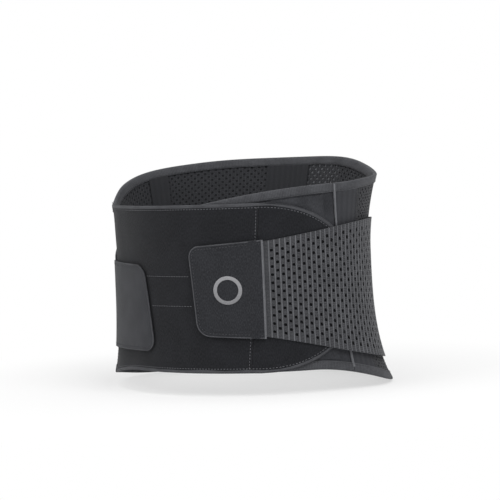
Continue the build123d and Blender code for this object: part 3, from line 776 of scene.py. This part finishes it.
back_cut = back_layer(1.4, 0.5)
cell_column, cell_row = np.indices(BACK_GRID) + 0.5
cell_angle, cell_height = back_cut.spots(cell_column / BACK_GRID[0], cell_row / BACK_GRID[1])
open_cells = cell_height > belt_bottom(cell_angle) + HEM_WIDTH
open_cells &= cell_height < belt_top(cell_angle) - HEM_WIDTH
for middle, half in BAND_MIDDLES.values():
    open_cells &= np.abs(cell_angle - middle) > half
open_cells[[0, -1]] = False
flat_back = perforated_cloth(*BACK_GRID, 1.8, lambda *cell: open_cells[cell], BACK_HOLE, 1)
back = wrapped("back_panel", flat_back, back_cut, *BACK_GRID, mesh_finish, "mesh_knit")
carried(back, "belt_back", "back_mesh")
declared(back, back_cut)

# %% [markdown]
# A thin dark net fills the middle of the mesh, so its holes are dark dots from both sides. Between the
# left anchor and the spine tape there is nothing behind it, and there the net is painted a lighter
# grey: painted light, standing in for the light that shows through.


# %% The net inside the mesh
def net_with_painted_light():
    cloth = Cloth("inner_net")
    along, _ = cloth.parts(cloth.place())
    first, last = float(length_at(63.0)), float(length_at(80.0))
    # Painted light: between 63 and 80 degrees the net is coloured lighter grey, for light that shows
    # through.
    lit = along.between(first - 4, first + 2) * (1 - along.between(last - 2, last + 4))
    grain = cloth.grain((1.4, 1.4), 3.0)
    colour = cloth.mixed(lit * 0.8 + grain * 0.2, shade(10), shade(112))
    return cloth.surface(colour, 0.85 + grain * 0.1, grain, 0.0001, Specular_IOR_Level=0.2)


sewn("back_inner_net", back_layer(2.4, 1.2), (90, 30), 0.3, net_with_painted_light(), "lining",
     "belt_back", "back_lining", [back])

# %% [markdown]
# ## Bands over the stays
# The two side bands are woven sleeves that close the back to the wings, each with a stay inside that
# fills it out. Three flat tapes cover the other stays inside the belt, where they lie on the wearer.


# %% Side bands and inner bands
def sleeve(middle):
    """A band that swells over the stay in its middle."""
    return lambda angle: 0.45 * (1 - smooth_step(np.abs(length_at(angle) - length_at(middle)), 2.0, 11.0))


for name, start, end, middle in (
    ("side_band_left", LEFT_EDGE, shifted(LEFT_BAND, -360.15), 348.3 - 360),
    ("side_band_right", RIGHT_BAND + 0.15, RIGHT_EDGE, 193.5),
):
    cut = Cut(start, end, *hemmed(belt_bottom, belt_top), sleeve(middle))
    sewn(name + "_sleeve", cut, (16, 60), 2.5, band_finish, "woven_band",
         "belt_back", name, [back], wave=0.25, seed=3.0)

for name, (middle, half) in BAND_MIDDLES.items():
    cut = Cut(middle - half, middle + half, *hemmed(belt_bottom, belt_top, HEM_WIDTH - 0.6), -0.9)
    sewn(name + "_tape", cut, (12, 70), 0.8, inner_band_finish, "woven_band",
         "belt_back", name, [back], wave=0.12)

# %% [markdown]
# ## Hems
# A knitted tape is folded over the whole edge. It is thick and round at the fold and thin where its
# own edges are sewn down, so its section is a soft wedge and not a box.

# %% The folded hems
HEM_SECTION = [
    (9.0, -0.1), (8.5, -0.55), (6.0, -0.75), (3.0, -0.8), (1.0, -0.7), (0.15, 0.2), (0.0, 1.3),
    (0.15, 2.4), (1.0, 3.3), (3.0, 3.4), (6.0, 3.35), (8.5, 3.15), (9.0, 2.7),
]


def edge_points(start, end, height, count=160):
    """The points of an edge between two seams, in the order given."""
    def met(seam):
        seam = as_line(seam)
        return float(seam(height(seam(WAIST))))

    angles = np.linspace(met(start), met(end), count)
    return np.stack([angles, height(angles)], -1)


def hem(name, line, body, node):
    carried(trimming(name, line, HEM_SECTION, 0.0, hem_finish, "hem_tape"), body, node)


top_line = edge_points(LEFT_EDGE, RIGHT_EDGE, belt_top)
bottom_line = edge_points(RIGHT_EDGE, LEFT_EDGE, belt_bottom)
hem("top_hem_tape", top_line, "belt_back", "top_hem")
hem("bottom_hem_tape", bottom_line, "belt_back", "bottom_hem")


# %% [markdown]
# ## Straps
# Both straps are wide elastic with a hole in every second cell of a grid. The grid fans out as the
# strap widens towards the back, which is what real elastic of this kind does under tension.


# %% How far out the wings and straps lie
def over_inside(angle):
    return 0.4 + 3.55 * smooth_step(angle, 226, 256)


def front_strap_inside(angle):
    return 6.4 - 3.45 * smooth_step(angle, 360, 390)


def side_strap_inside(angle):
    return 2.55 + over_inside(angle)


def strap_edges(seam, low, high, level_from):
    """The lower and upper edge of a strap that widens from its tab's seam to its anchor."""
    seam_y = float(ring_point(seam, WAIST)[1])
    rear_y = float(ring_point(62.0, WAIST)[1])
    top = np.poly1d(np.polyfit([seam_y, level_from, rear_y], [high, 161.0, 161.0], 2))
    bottom = np.poly1d(np.polyfit([seam_y, 0.0, rear_y], [low, 31.0, 21.0], 2))
    return (lambda a: followed(bottom, a)), (lambda a: followed(top, a))


# %% The front strap
STRAP_CELL = 4.6
FRONT_SEAM, SIDE_SEAM, SIDE_TAB_LOW, SIDE_TAB_HIGH = 303.0, 209.0, 41.5, 131.0
STRAP_REAR = float(moved(422.0, -8.3))


def strap(name, cut, body, node, rows=24):
    """Perforated elastic whose first and last rows and columns are left whole."""
    columns = 2 * round(cut.flat_size()[1] * 1000 / STRAP_CELL / 2)

    def has_hole(column, row):
        return 0 < column < columns - 1 and 0 < row < rows - 1

    flat = perforated_cloth(columns, rows, 1.3, has_hole, (0.3, 0.34), 3)
    piece = wrapped(name, flat, cut, columns, rows, elastic_finish, "elastic")
    carried(piece, body, node)
    return declared(piece, cut)


front_edges = strap_edges(FRONT_SEAM, FRONT_TAB_LOW + 1.5, FRONT_TAB_HIGH - 1.5, -42.0)
front_strap = strap(
    "front_strap_elastic", Cut(FRONT_SEAM + 0.1, STRAP_REAR, *front_edges, front_strap_inside),
    "front_strap", "front_strap")

# %% The side strap, in two lengths
side_edges = strap_edges(SIDE_SEAM, SIDE_TAB_LOW + 1.5, SIDE_TAB_HIGH - 1.5, 30.0)
side_strap_rear = strap(
    "side_strap_rear_elastic", Cut(float(moved(118.0, 8.3)), 200.1, *side_edges, side_strap_inside),
    "belt_back", "side_strap_rear")
side_strap = strap(
    "side_strap_elastic", Cut(200.1, SIDE_SEAM - 0.1, *side_edges, side_strap_inside),
    "side_strap", "side_strap")

# %% [markdown]
# ## Where the straps are sewn on
# A short tape covers each strap's rear end. It is sewn down all round, which shows as a frame of
# stitches.

# %% The anchors
ANCHOR_LOW, ANCHOR_HIGH, ANCHOR_FACE = 21.0, 161.0, 4.12
belt_rows = []
for name, middle in (("strap_anchor_left", 62.0), ("strap_anchor_right", 118.0)):
    start, end = float(moved(middle, -8.0)), float(moved(middle, 8.0))
    sewn(name + "_tape", Cut(start, end, ANCHOR_LOW, ANCHOR_HIGH, 2.8), (6, 44), 1.3, anchor_finish,
         "woven_band", "belt_back", name, [back], wave=0.1)
    sides = [float(moved(middle, side)) for side in (-6.0, 6.0)]
    ends = (ANCHOR_LOW + 2.5, ANCHOR_HIGH - 2.5)
    belt_rows += [([(side, height) for height in ends], ANCHOR_FACE) for side in sides]
    belt_rows += [([(side, height) for side in sides], ANCHOR_FACE) for height in ends]

# %% [markdown]
# ## The under wing
# The left wing goes under. It is a smooth brushed cloth with a knitted hem above and below, and its
# middle is loop pile for the hooks of the over wing. A pale welt stands on its seam with the back.

# %% Under wing, its loop face and hems
under_cut = Cut(UNDER_END, shifted(LEFT_SEAM, -0.15), *hemmed(under_bottom, under_top))
under_wing = sewn(
    "under_wing_cloth", under_cut, (56, 44), 2.0, under_finish, "wing_cloth",
    "under_wing", "under_wing", ["side_stay_left"], wave=0.3, seed=5.0)
loop_cut = Cut(
    float(moved(UNDER_END, 11)), lambda z: moved(LEFT_SEAM(z), -11.0),
    *hemmed(under_bottom, under_top, 10.6), 2.1)
sewn("under_wing_loop_face", loop_cut, (48, 40), 0.7, loop_finish, "loop_pile",
     "under_wing", "under_wing_loop", [under_wing], wave=0.15)
under_seam = shifted(LEFT_SEAM, -0.1)
under_top_line = edge_points(UNDER_END, under_seam, under_top, 70)
under_bottom_line = edge_points(under_seam, UNDER_END, under_bottom, 70)
hem("under_wing_top_tape", under_top_line, "under_wing", "under_wing_top_hem")
hem("under_wing_bottom_tape", under_bottom_line, "under_wing", "under_wing_bottom_hem")

# %% The welt on the left seam
welt_heights = np.linspace(float(belt_bottom(-20.0)) + 3, float(belt_top(-20.0)) - 1, 40)
welt_line = np.stack([moved(LEFT_SEAM(welt_heights) - 360, 1.5), welt_heights], -1)
welt = trimming("left_seam_welt", welt_line, round_section(1.1, 2.7), 0.0, piping_finish, "piping")
carried(welt, "belt_back", "seam_piping")

# %% [markdown]
# ## The over wing
# The right wing goes over and ends in a half oval. A seam joins the end to the rest, and a binding
# runs round the whole free edge, with a row of stitches just inside it.


# %% Distances on a flat drawing board
def board(middle, lift):
    """Turns a distance on a flat board that touches the belt at the middle angle into an angle."""
    angles = np.linspace(middle - 70, middle + 70, 561)
    turn = math.radians(middle)
    way = np.array([-math.sin(turn) / HALF_DEPTH, math.cos(turn) / HALF_WIDTH, 0])
    way = way / np.linalg.norm(way)
    run = (ring_point(angles, WAIST, lift) - ring_point(middle, WAIST)) @ way
    return (lambda distance: np.interp(distance, run, angles)), (lambda angle: np.interp(angle, angles, run))


# %% The over wing and its end
END_LENGTH, END_ROUND, OVER_LIFT = 101.0, 98.0, 3.95
to_angle, to_run = board(330.15, OVER_LIFT)
oval_run = float(to_run(300.3)) + END_LENGTH - END_ROUND


def oval_edge(height):
    """The angle of the over wing's rounded end at each height."""
    middle, half = (FRONT_BOTTOM + OVER_TOP) / 2, (OVER_TOP - FRONT_BOTTOM) / 2
    share = np.clip(1 - ((height - middle) / half) ** 2, 0, 1)
    return to_angle(oval_run + END_ROUND * np.sqrt(share))


class OvalCut(Cut):
    """The rounded end, whose rows crowd towards its top and bottom."""

    def spots(self, across, up):
        across, up = np.broadcast_arrays(np.asarray(across, float), np.asarray(up, float))
        low, high = self.low(0.0), self.high(0.0)
        height = low + (high - low) * (1 - np.cos(math.pi * up)) / 2
        start, end = self.start(height), self.end(height)
        return start + (end - start) * across, height


def over_bottom(angle):
    return followed(RIGHT_BOTTOM, angle)


over_cut = Cut(
    RIGHT_SEAM + 0.15, shifted(OVER_SEAM, -0.12), shifted(over_bottom, 1.0), OVER_TOP - 1.0, over_inside)
end_cut = OvalCut(
    shifted(OVER_SEAM, 0.12), lambda z: moved(oval_edge(z), -0.8),
    FRONT_BOTTOM + 0.6, OVER_TOP - 0.6, over_inside)
sewn("over_wing_cloth", over_cut, (88, 56), 2.0, wing_finish, "wing_cloth",
     "over_wing", "over_wing", [under_wing], wave=0.3, seed=9.0)
over_end = sewn(
    "over_wing_end_cloth", end_cut, (36, 56), 2.0, wing_finish, "wing_cloth",
    "over_wing", "over_wing_end", [under_wing], wave=0.2, seed=9.0)

# %% Its binding
oval_up = (1 + np.cos(np.linspace(0, math.pi, 160))) / 2
oval_heights = FRONT_BOTTOM + (OVER_TOP - FRONT_BOTTOM) * oval_up
back_again = np.linspace(301.0, RIGHT_SEAM + 0.15, 90)
free_edge = np.concatenate([
    np.stack([np.linspace(RIGHT_SEAM + 0.15, 301.5, 90), np.full(90, OVER_TOP)], -1),
    np.stack([oval_edge(oval_heights), oval_heights], -1),
    np.stack([back_again, over_bottom(back_again)], -1),
])
RIM_SECTION = [
    (3.5, 0.1), (2.6, -0.15), (1.0, -0.1), (0.0, 0.6), (-0.1, 1.2), (0.7, 2.1), (1.7, 2.25), (2.8, 2.1),
    (3.5, 1.8),
]
rim = trimming(
    "over_wing_binding", free_edge, RIM_SECTION, over_inside, rim_finish, "hem_tape", step=2.2)
carried(rim, "over_wing", "over_wing_rim")

# %% Its hook patch
HOOKS_FROM_EDGE, HOOKS_FROM_TOP = 16.0, 30.0


def hooks_end(height):
    """As near to the oval edge and to the left seam as the patch may come."""
    return np.minimum(*(moved(line(height), -HOOKS_FROM_EDGE) for line in (oval_edge, LEFT_SEAM)))


hook_cut = OvalCut(
    lambda z: moved(OVER_SEAM(z), HOOKS_FROM_EDGE), hooks_end,
    FRONT_BOTTOM + HOOKS_FROM_TOP, OVER_TOP - HOOKS_FROM_TOP, 2.95)
sewn("over_wing_hooks", hook_cut, (24, 40), 0.9, hook_finish, "hook_tape",
     "over_wing", "over_wing_hook", [over_end])

# %% [markdown]
# ## The tabs
# Each strap ends in a stiff tab: brushed cloth outside, hooks inside, with a slanted end and round
# corners. The front tab has a fine corded edge and a thicker cord on its seam, and the cloth stands
# up a little beside that seam, where the strap's end is folded in under it.

# %% The front tab
TAB_CORNER = 13.0


class TabCut(Cut):
    """A tab from its seam to its slanted, round-cornered tip."""

    def __init__(self, seam, tip, low, high, drop, slant, strap_inside, inset=0.0, out=0.0):
        middle = (seam + tip) / 2
        angle_of, run_of = board(middle, float(strap_inside(middle)))
        seam_run, tip_run = float(run_of(seam)), float(run_of(tip))
        inwards = math.copysign(1, seam_run - tip_run)
        tip_run += inwards * inset
        low, high = low + inset, high - inset

        def dropped(angle):
            return drop * np.clip((seam_run - run_of(angle)) / (seam_run - tip_run), 0, 1.2)

        def tip_line(height):
            share = (height - low - drop) / (high - low - 2 * drop)
            return angle_of(tip_run + slant * (0.5 - share))

        def inside(angle):
            return strap_inside(angle) + out

        ends = (tip_line, seam) if inwards > 0 else (seam, tip_line)
        rounding = {"round_start" if inwards > 0 else "round_end": TAB_CORNER - inset}
        super().__init__(*ends, lambda a: low + dropped(a), lambda a: high - dropped(a), inside, **rounding)
        self.tip_side = "start" if inwards > 0 else "end"

    def free_line(self):
        """The free edge, from the seam round the tip and back, clockwise as seen from outside."""
        if self.tip_side == "start":
            parts = [self.line("low", 40, 1, 0), self.line("start", 60, 0, 1), self.line("high", 40, 0, 1)]
        else:
            parts = [self.line("high", 40, 0, 1), self.line("end", 60, 1, 0), self.line("low", 40, 1, 0)]
        return np.concatenate(parts)


FRONT_TIP = 272.3
FRONT_TAB = (FRONT_SEAM - 0.1, FRONT_TIP, FRONT_TAB_LOW, FRONT_TAB_HIGH, 3.5, 8.0, front_strap_inside)
front_tab_cut = TabCut(*FRONT_TAB, out=1.5)
FOLD_AT = float(moved(FRONT_SEAM, -9.5))


def folded_up(angle):
    """The front tab's outer face, with the fold that stands up beside its seam."""
    near = np.abs(length_at(angle) - length_at(FOLD_AT))
    return front_strap_inside(angle) + 1.5 + 0.8 * (1 - smooth_step(near, 0.5, 5.5))


front_tab_cut.inside = folded_up
front_tab = sewn(
    "front_tab_cloth", front_tab_cut, (44, 60), 1.0, tab_finish, "tab_cloth",
    "front_tab", "front_tab", [front_strap], wave=0.15, seed=11.0)

# %% Its corded edge, seam cord and hooks
front_edge = front_tab_cut.free_line()
cord_out = shifted(front_strap_inside, 2.0)
edging = trimming(
    "front_tab_edging", beside(front_edge, 0.6, 1.5), round_section(0.75, 0.0), cord_out,
    edging_finish, "piping", step=1.5)
carried(edging, "front_tab")
seam_line = [(FRONT_SEAM - 0.25, height) for height in (FRONT_TAB_LOW, FRONT_TAB_HIGH)]
seam_cord = trimming(
    "front_tab_seam_cord", seam_line, round_section(0.95, 0.1), cord_out,
    piping_finish, "piping", step=2.5, wave=0.2)
carried(seam_cord, "front_tab")


def tab_hooks(name, shape, body, node, tab):
    cut = TabCut(*shape, inset=3.0, out=-0.1)
    sewn(name, cut, (36, 50), 1.35, hook_finish, "hook_tape", body, node, [tab])


tab_hooks("front_tab_hooks", FRONT_TAB, "front_tab", "front_tab_hook", front_tab)

# %% [markdown]
# ## The badge
# A raised rubber print sits in the middle of the front tab. It is a plain ring here. A circle is
# inset, the middle is taken out, and what is left is given its thickness and a soft edge.

# %% A plain ring
BADGE_RADIUS, BADGE_STROKE = 14.0, 3.6
ring = bmesh.new()
bmesh.ops.create_circle(ring, cap_ends=True, segments=72, radius=BADGE_RADIUS)
bmesh.ops.inset_region(
    ring, faces=ring.faces[:], thickness=BADGE_STROKE, use_even_offset=True, use_boundary=True)
bmesh.ops.delete(ring, geom=[f for f in ring.faces if len(f.verts) > 4], context="FACES")
given_thickness(ring, 0.6)
sharp = [e for e in ring.edges if e.calc_face_angle(0) > 1]
bmesh.ops.bevel(ring, geom=sharp, offset=0.22, segments=2, profile=0.5, affect="EDGES", material=-1)
tab_middle, badge_height = (FRONT_SEAM + FRONT_TIP) / 2, (FRONT_TAB_LOW + FRONT_TAB_HIGH) / 2
mapped(ring, "cloth", lambda v: v.co.xy / 1000)
for vert in ring.verts:
    angle, height = moved(tab_middle, vert.co.x), badge_height + vert.co.y
    vert.co = on_waist(angle, height, front_strap_inside(angle) + 2.5 + vert.co.z)
badge = finished("front_tab_ring_badge", ring, badge_finish, "badge_print")
carried(badge, "front_tab", "front_tab_badge")

# %% [markdown]
# ## The side tab
# The side strap ends in a tab of smoother cloth with no cord, only a turned edge and a row of
# stitches inside it.

# %% The side tab
SIDE_TAB = (SIDE_SEAM + 0.1, 249.3, SIDE_TAB_LOW, SIDE_TAB_HIGH, 1.5, 14.0, side_strap_inside)
side_tab_cut = TabCut(*SIDE_TAB, out=1.5)
side_tab = sewn(
    "side_tab_cloth", side_tab_cut, (44, 60), 1.0, side_tab_finish, "tab_cloth",
    "side_tab", "side_tab", [side_strap], wave=0.12, seed=13.0)
tab_hooks("side_tab_hooks", SIDE_TAB, "side_tab", "side_tab_hook", side_tab)
side_edge = side_tab_cut.free_line()
side_turned = trimming(
    "side_tab_turned_edge", beside(side_edge, 0.5, 1.5), round_section(0.6, 0.0),
    shifted(side_strap_inside, 2.0), edging_finish, "tab_cloth", step=1.5)
carried(side_turned, "side_tab")

# %% [markdown]
# ## Stitches
# Rows of stitches say how the belt is made. Each stitch is a small separate grain of thread that is
# half sunk in the cloth. A row is handed the body whose cloth it goes through; only the back's rows are
# parented to it.

# %% Stitches on the back
HEM_STITCHES = 7.6
for line in (top_line, bottom_line):
    belt_rows += [(beside(line, HEM_STITCHES), face) for face in (3.3, -0.75)]
for middle in STAY_MIDDLES:
    for side in (-7.0, 7.0):
        angle = float(moved(middle, side))
        low, high = float(belt_bottom(angle)) + 10, float(belt_top(angle)) - 10
        belt_rows.append(([(angle, low), (angle, high)], 2.45))
for angle in (float(moved(RIGHT_BAND, 1.5)), float(moved(RIGHT_SEAM, -2.0))):
    belt_rows.append(([(angle, 12.0), (angle, 190.0)], 2.6))
left_heights = np.linspace(15.0, 200.0, 40)
left_row = np.stack([moved(LEFT_BAND(left_heights) - 360, -1.6), left_heights], -1)
belt_rows.append((left_row, 2.6))
carried(stitched("belt_stitches", belt_rows, dark_thread_finish, "hem_tape"), "belt_back")

# %% Stitches on the wings
over_outside = shifted(over_inside, 2.05)
seam_heights = np.linspace(FRONT_BOTTOM + 5, OVER_TOP - 5, 40)
wing_rows = [
    (beside(free_edge, 4.4), over_outside),
    (np.stack([moved(OVER_SEAM(seam_heights), -2.2), seam_heights], -1), over_outside),
]
for height, first, last in ((118.0, 247.5, 269.5), (88.5, 250.5, 270.5)):
    wing_rows.append(([(first, height), (last, height)], over_outside))
carried(stitched("over_wing_stitches", wing_rows, thread_finish, "hem_tape"), "over_wing")
under_rows = [(beside(line, HEM_STITCHES), 3.3) for line in (under_top_line, under_bottom_line)]
carried(stitched("under_wing_stitches", under_rows, dark_thread_finish, "hem_tape"), "under_wing")

# %% Stitches on the tabs
for body, edge, distance, base in (
    ("front_tab", front_edge, 3.4, front_strap_inside), ("side_tab", side_edge, 3.2, side_strap_inside),
):
    rows = [(beside(edge, distance, 1.5), shifted(base, 2.55))]
    carried(stitched(body + "_stitches", rows, dark_thread_finish, "tab_cloth"), body)

# %% [markdown]
# ## The stays
# The six spring stays are already the right shape in the frame, so they stay as they are. They lie
# inside the cloth and only need their finish.

# %% Steel on the stays
for name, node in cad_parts.items():
    if name.endswith(("_stay_left", "_stay_right")):
        node.data.materials.clear()
        node.data.materials.append(steel_finish)
        print(name, "is steel")

# %% [markdown]
# ## Floor, light and camera
# The floor is matt and near white. It answers light and shadow close to the belt and fades to a plain
# white further off, which is done by distance on the floor itself. Large soft lamps keep the black
# cloth readable without hard highlights.


# %% The floor
def floor_finish():
    cloth = Cloth("pale_floor")
    spot = cloth.own_place()
    far = cloth.node("VectorMath", {"operation": "LENGTH"}, {0: spot}, 1)
    grain = cloth.node("TexNoise", None, {"Vector": spot, "Scale": 60.0, "Detail": 2.0})
    colour = cloth.mixed(grain * 0.04, (0.9, 0.9, 0.9, 1), (0.86, 0.86, 0.87, 1))
    matt = cloth.node("BsdfDiffuse", None, {"Color": colour})
    white = cloth.node("Emission", None, {"Color": (1, 1, 1, 1), "Strength": 1.0})
    seen = cloth.node("LightPath", None, None, 0)
    share = seen * (0.55 + far.between(0.18, 0.42) * 0.45)
    cloth.node_output(cloth.node("MixShader", None, {0: share, 1: matt, 2: white}))
    return cloth.material


floor_mesh = bmesh.new()
bmesh.ops.create_grid(floor_mesh, x_segments=24, y_segments=24, size=4.0)
bmesh.ops.translate(floor_mesh, vec=(0, 0, -0.0003), verts=floor_mesh.verts)
floor_data = bpy.data.meshes.new("floor")
floor_mesh.to_mesh(floor_data)
floor_mesh.free()
floor_data.materials.append(floor_finish())
placed("floor", floor_data)

# %% The world and the lamps
world = bpy.data.worlds.new("studio")
bpy.context.scene.world = world
world.use_nodes = True
tree = world.node_tree
tree.nodes.clear()
path, out = tree.nodes.new("ShaderNodeLightPath"), tree.nodes.new("ShaderNodeOutputWorld")
lit, shown, choice = (
    tree.nodes.new("ShaderNode" + kind) for kind in ("Background", "Background", "MixShader"))
for light, strength in ((lit, 0.5), (shown, 1.0)):
    light.inputs["Color"].default_value = (1, 1, 1, 1)
    light.inputs["Strength"].default_value = strength
seen = tree.nodes.new("ShaderNodeMath")
seen.operation, seen.use_clamp = "ADD", True
for start, end in (
    (path.outputs["Is Camera Ray"], seen.inputs[0]),
    (path.outputs["Is Transmission Ray"], seen.inputs[1]),
    (seen.outputs[0], choice.inputs[0]),
    (lit.outputs[0], choice.inputs[1]),
    (shown.outputs[0], choice.inputs[2]),
    (choice.outputs[0], out.inputs["Surface"]),
):
    tree.links.new(start, end)


def lamp(name, azimuth, height, distance, size, watts):
    """A square soft lamp that looks at the middle of the belt."""
    data = bpy.data.lights.new(name, "AREA")
    data.size, data.energy = size, watts
    made = placed(name, data)
    turn = math.radians(azimuth)
    made.location = (distance * math.sin(turn), -distance * math.cos(turn), height)
    made.rotation_euler = (Vector((0, 0, 0.12)) - made.location).to_track_quat("-Z", "Y").to_euler()


lamp("key", 62, 1.3, 1.3, 1.1, 15)
lamp("fill", -35, 0.9, 1.6, 1.4, 9)
lamp("above", 0, 1.9, 0.1, 1.2, 9)

# %% The camera
AZIMUTH, ELEVATION, DISTANCE, ROLL = 30.0, 4.0, 2.0, 2.5
SENSOR, VIEW_WIDTH, TARGET_HEIGHT, SHIFT = 36.0, 0.5 / 0.968, 115.0, (0.0175, 0.042)
camera_data = bpy.data.cameras.new("camera")
camera_data.sensor_width = SENSOR
camera_data.lens = SENSOR * DISTANCE / VIEW_WIDTH
camera_data.shift_x, camera_data.shift_y = SHIFT
camera = placed("camera", camera_data)
bpy.context.scene.camera = camera
azimuth, elevation = math.radians(AZIMUTH), math.radians(ELEVATION)
back_along = Vector((
    math.sin(azimuth) * math.cos(elevation), -math.cos(azimuth) * math.cos(elevation), math.sin(elevation)))
target = Vector((CENTRE + (0, 0, TARGET_HEIGHT)) / 1000)
camera.location = target + back_along * DISTANCE
camera.rotation_mode = "QUATERNION"
rolled = Matrix.Rotation(math.radians(-ROLL), 3, "Z").to_quaternion()
camera.rotation_quaternion = (-back_along).to_track_quat("-Z", "Y") @ rolled
bpy.context.scene.view_settings.view_transform = "Standard"
print("lens, mm:", round(camera_data.lens, 1))
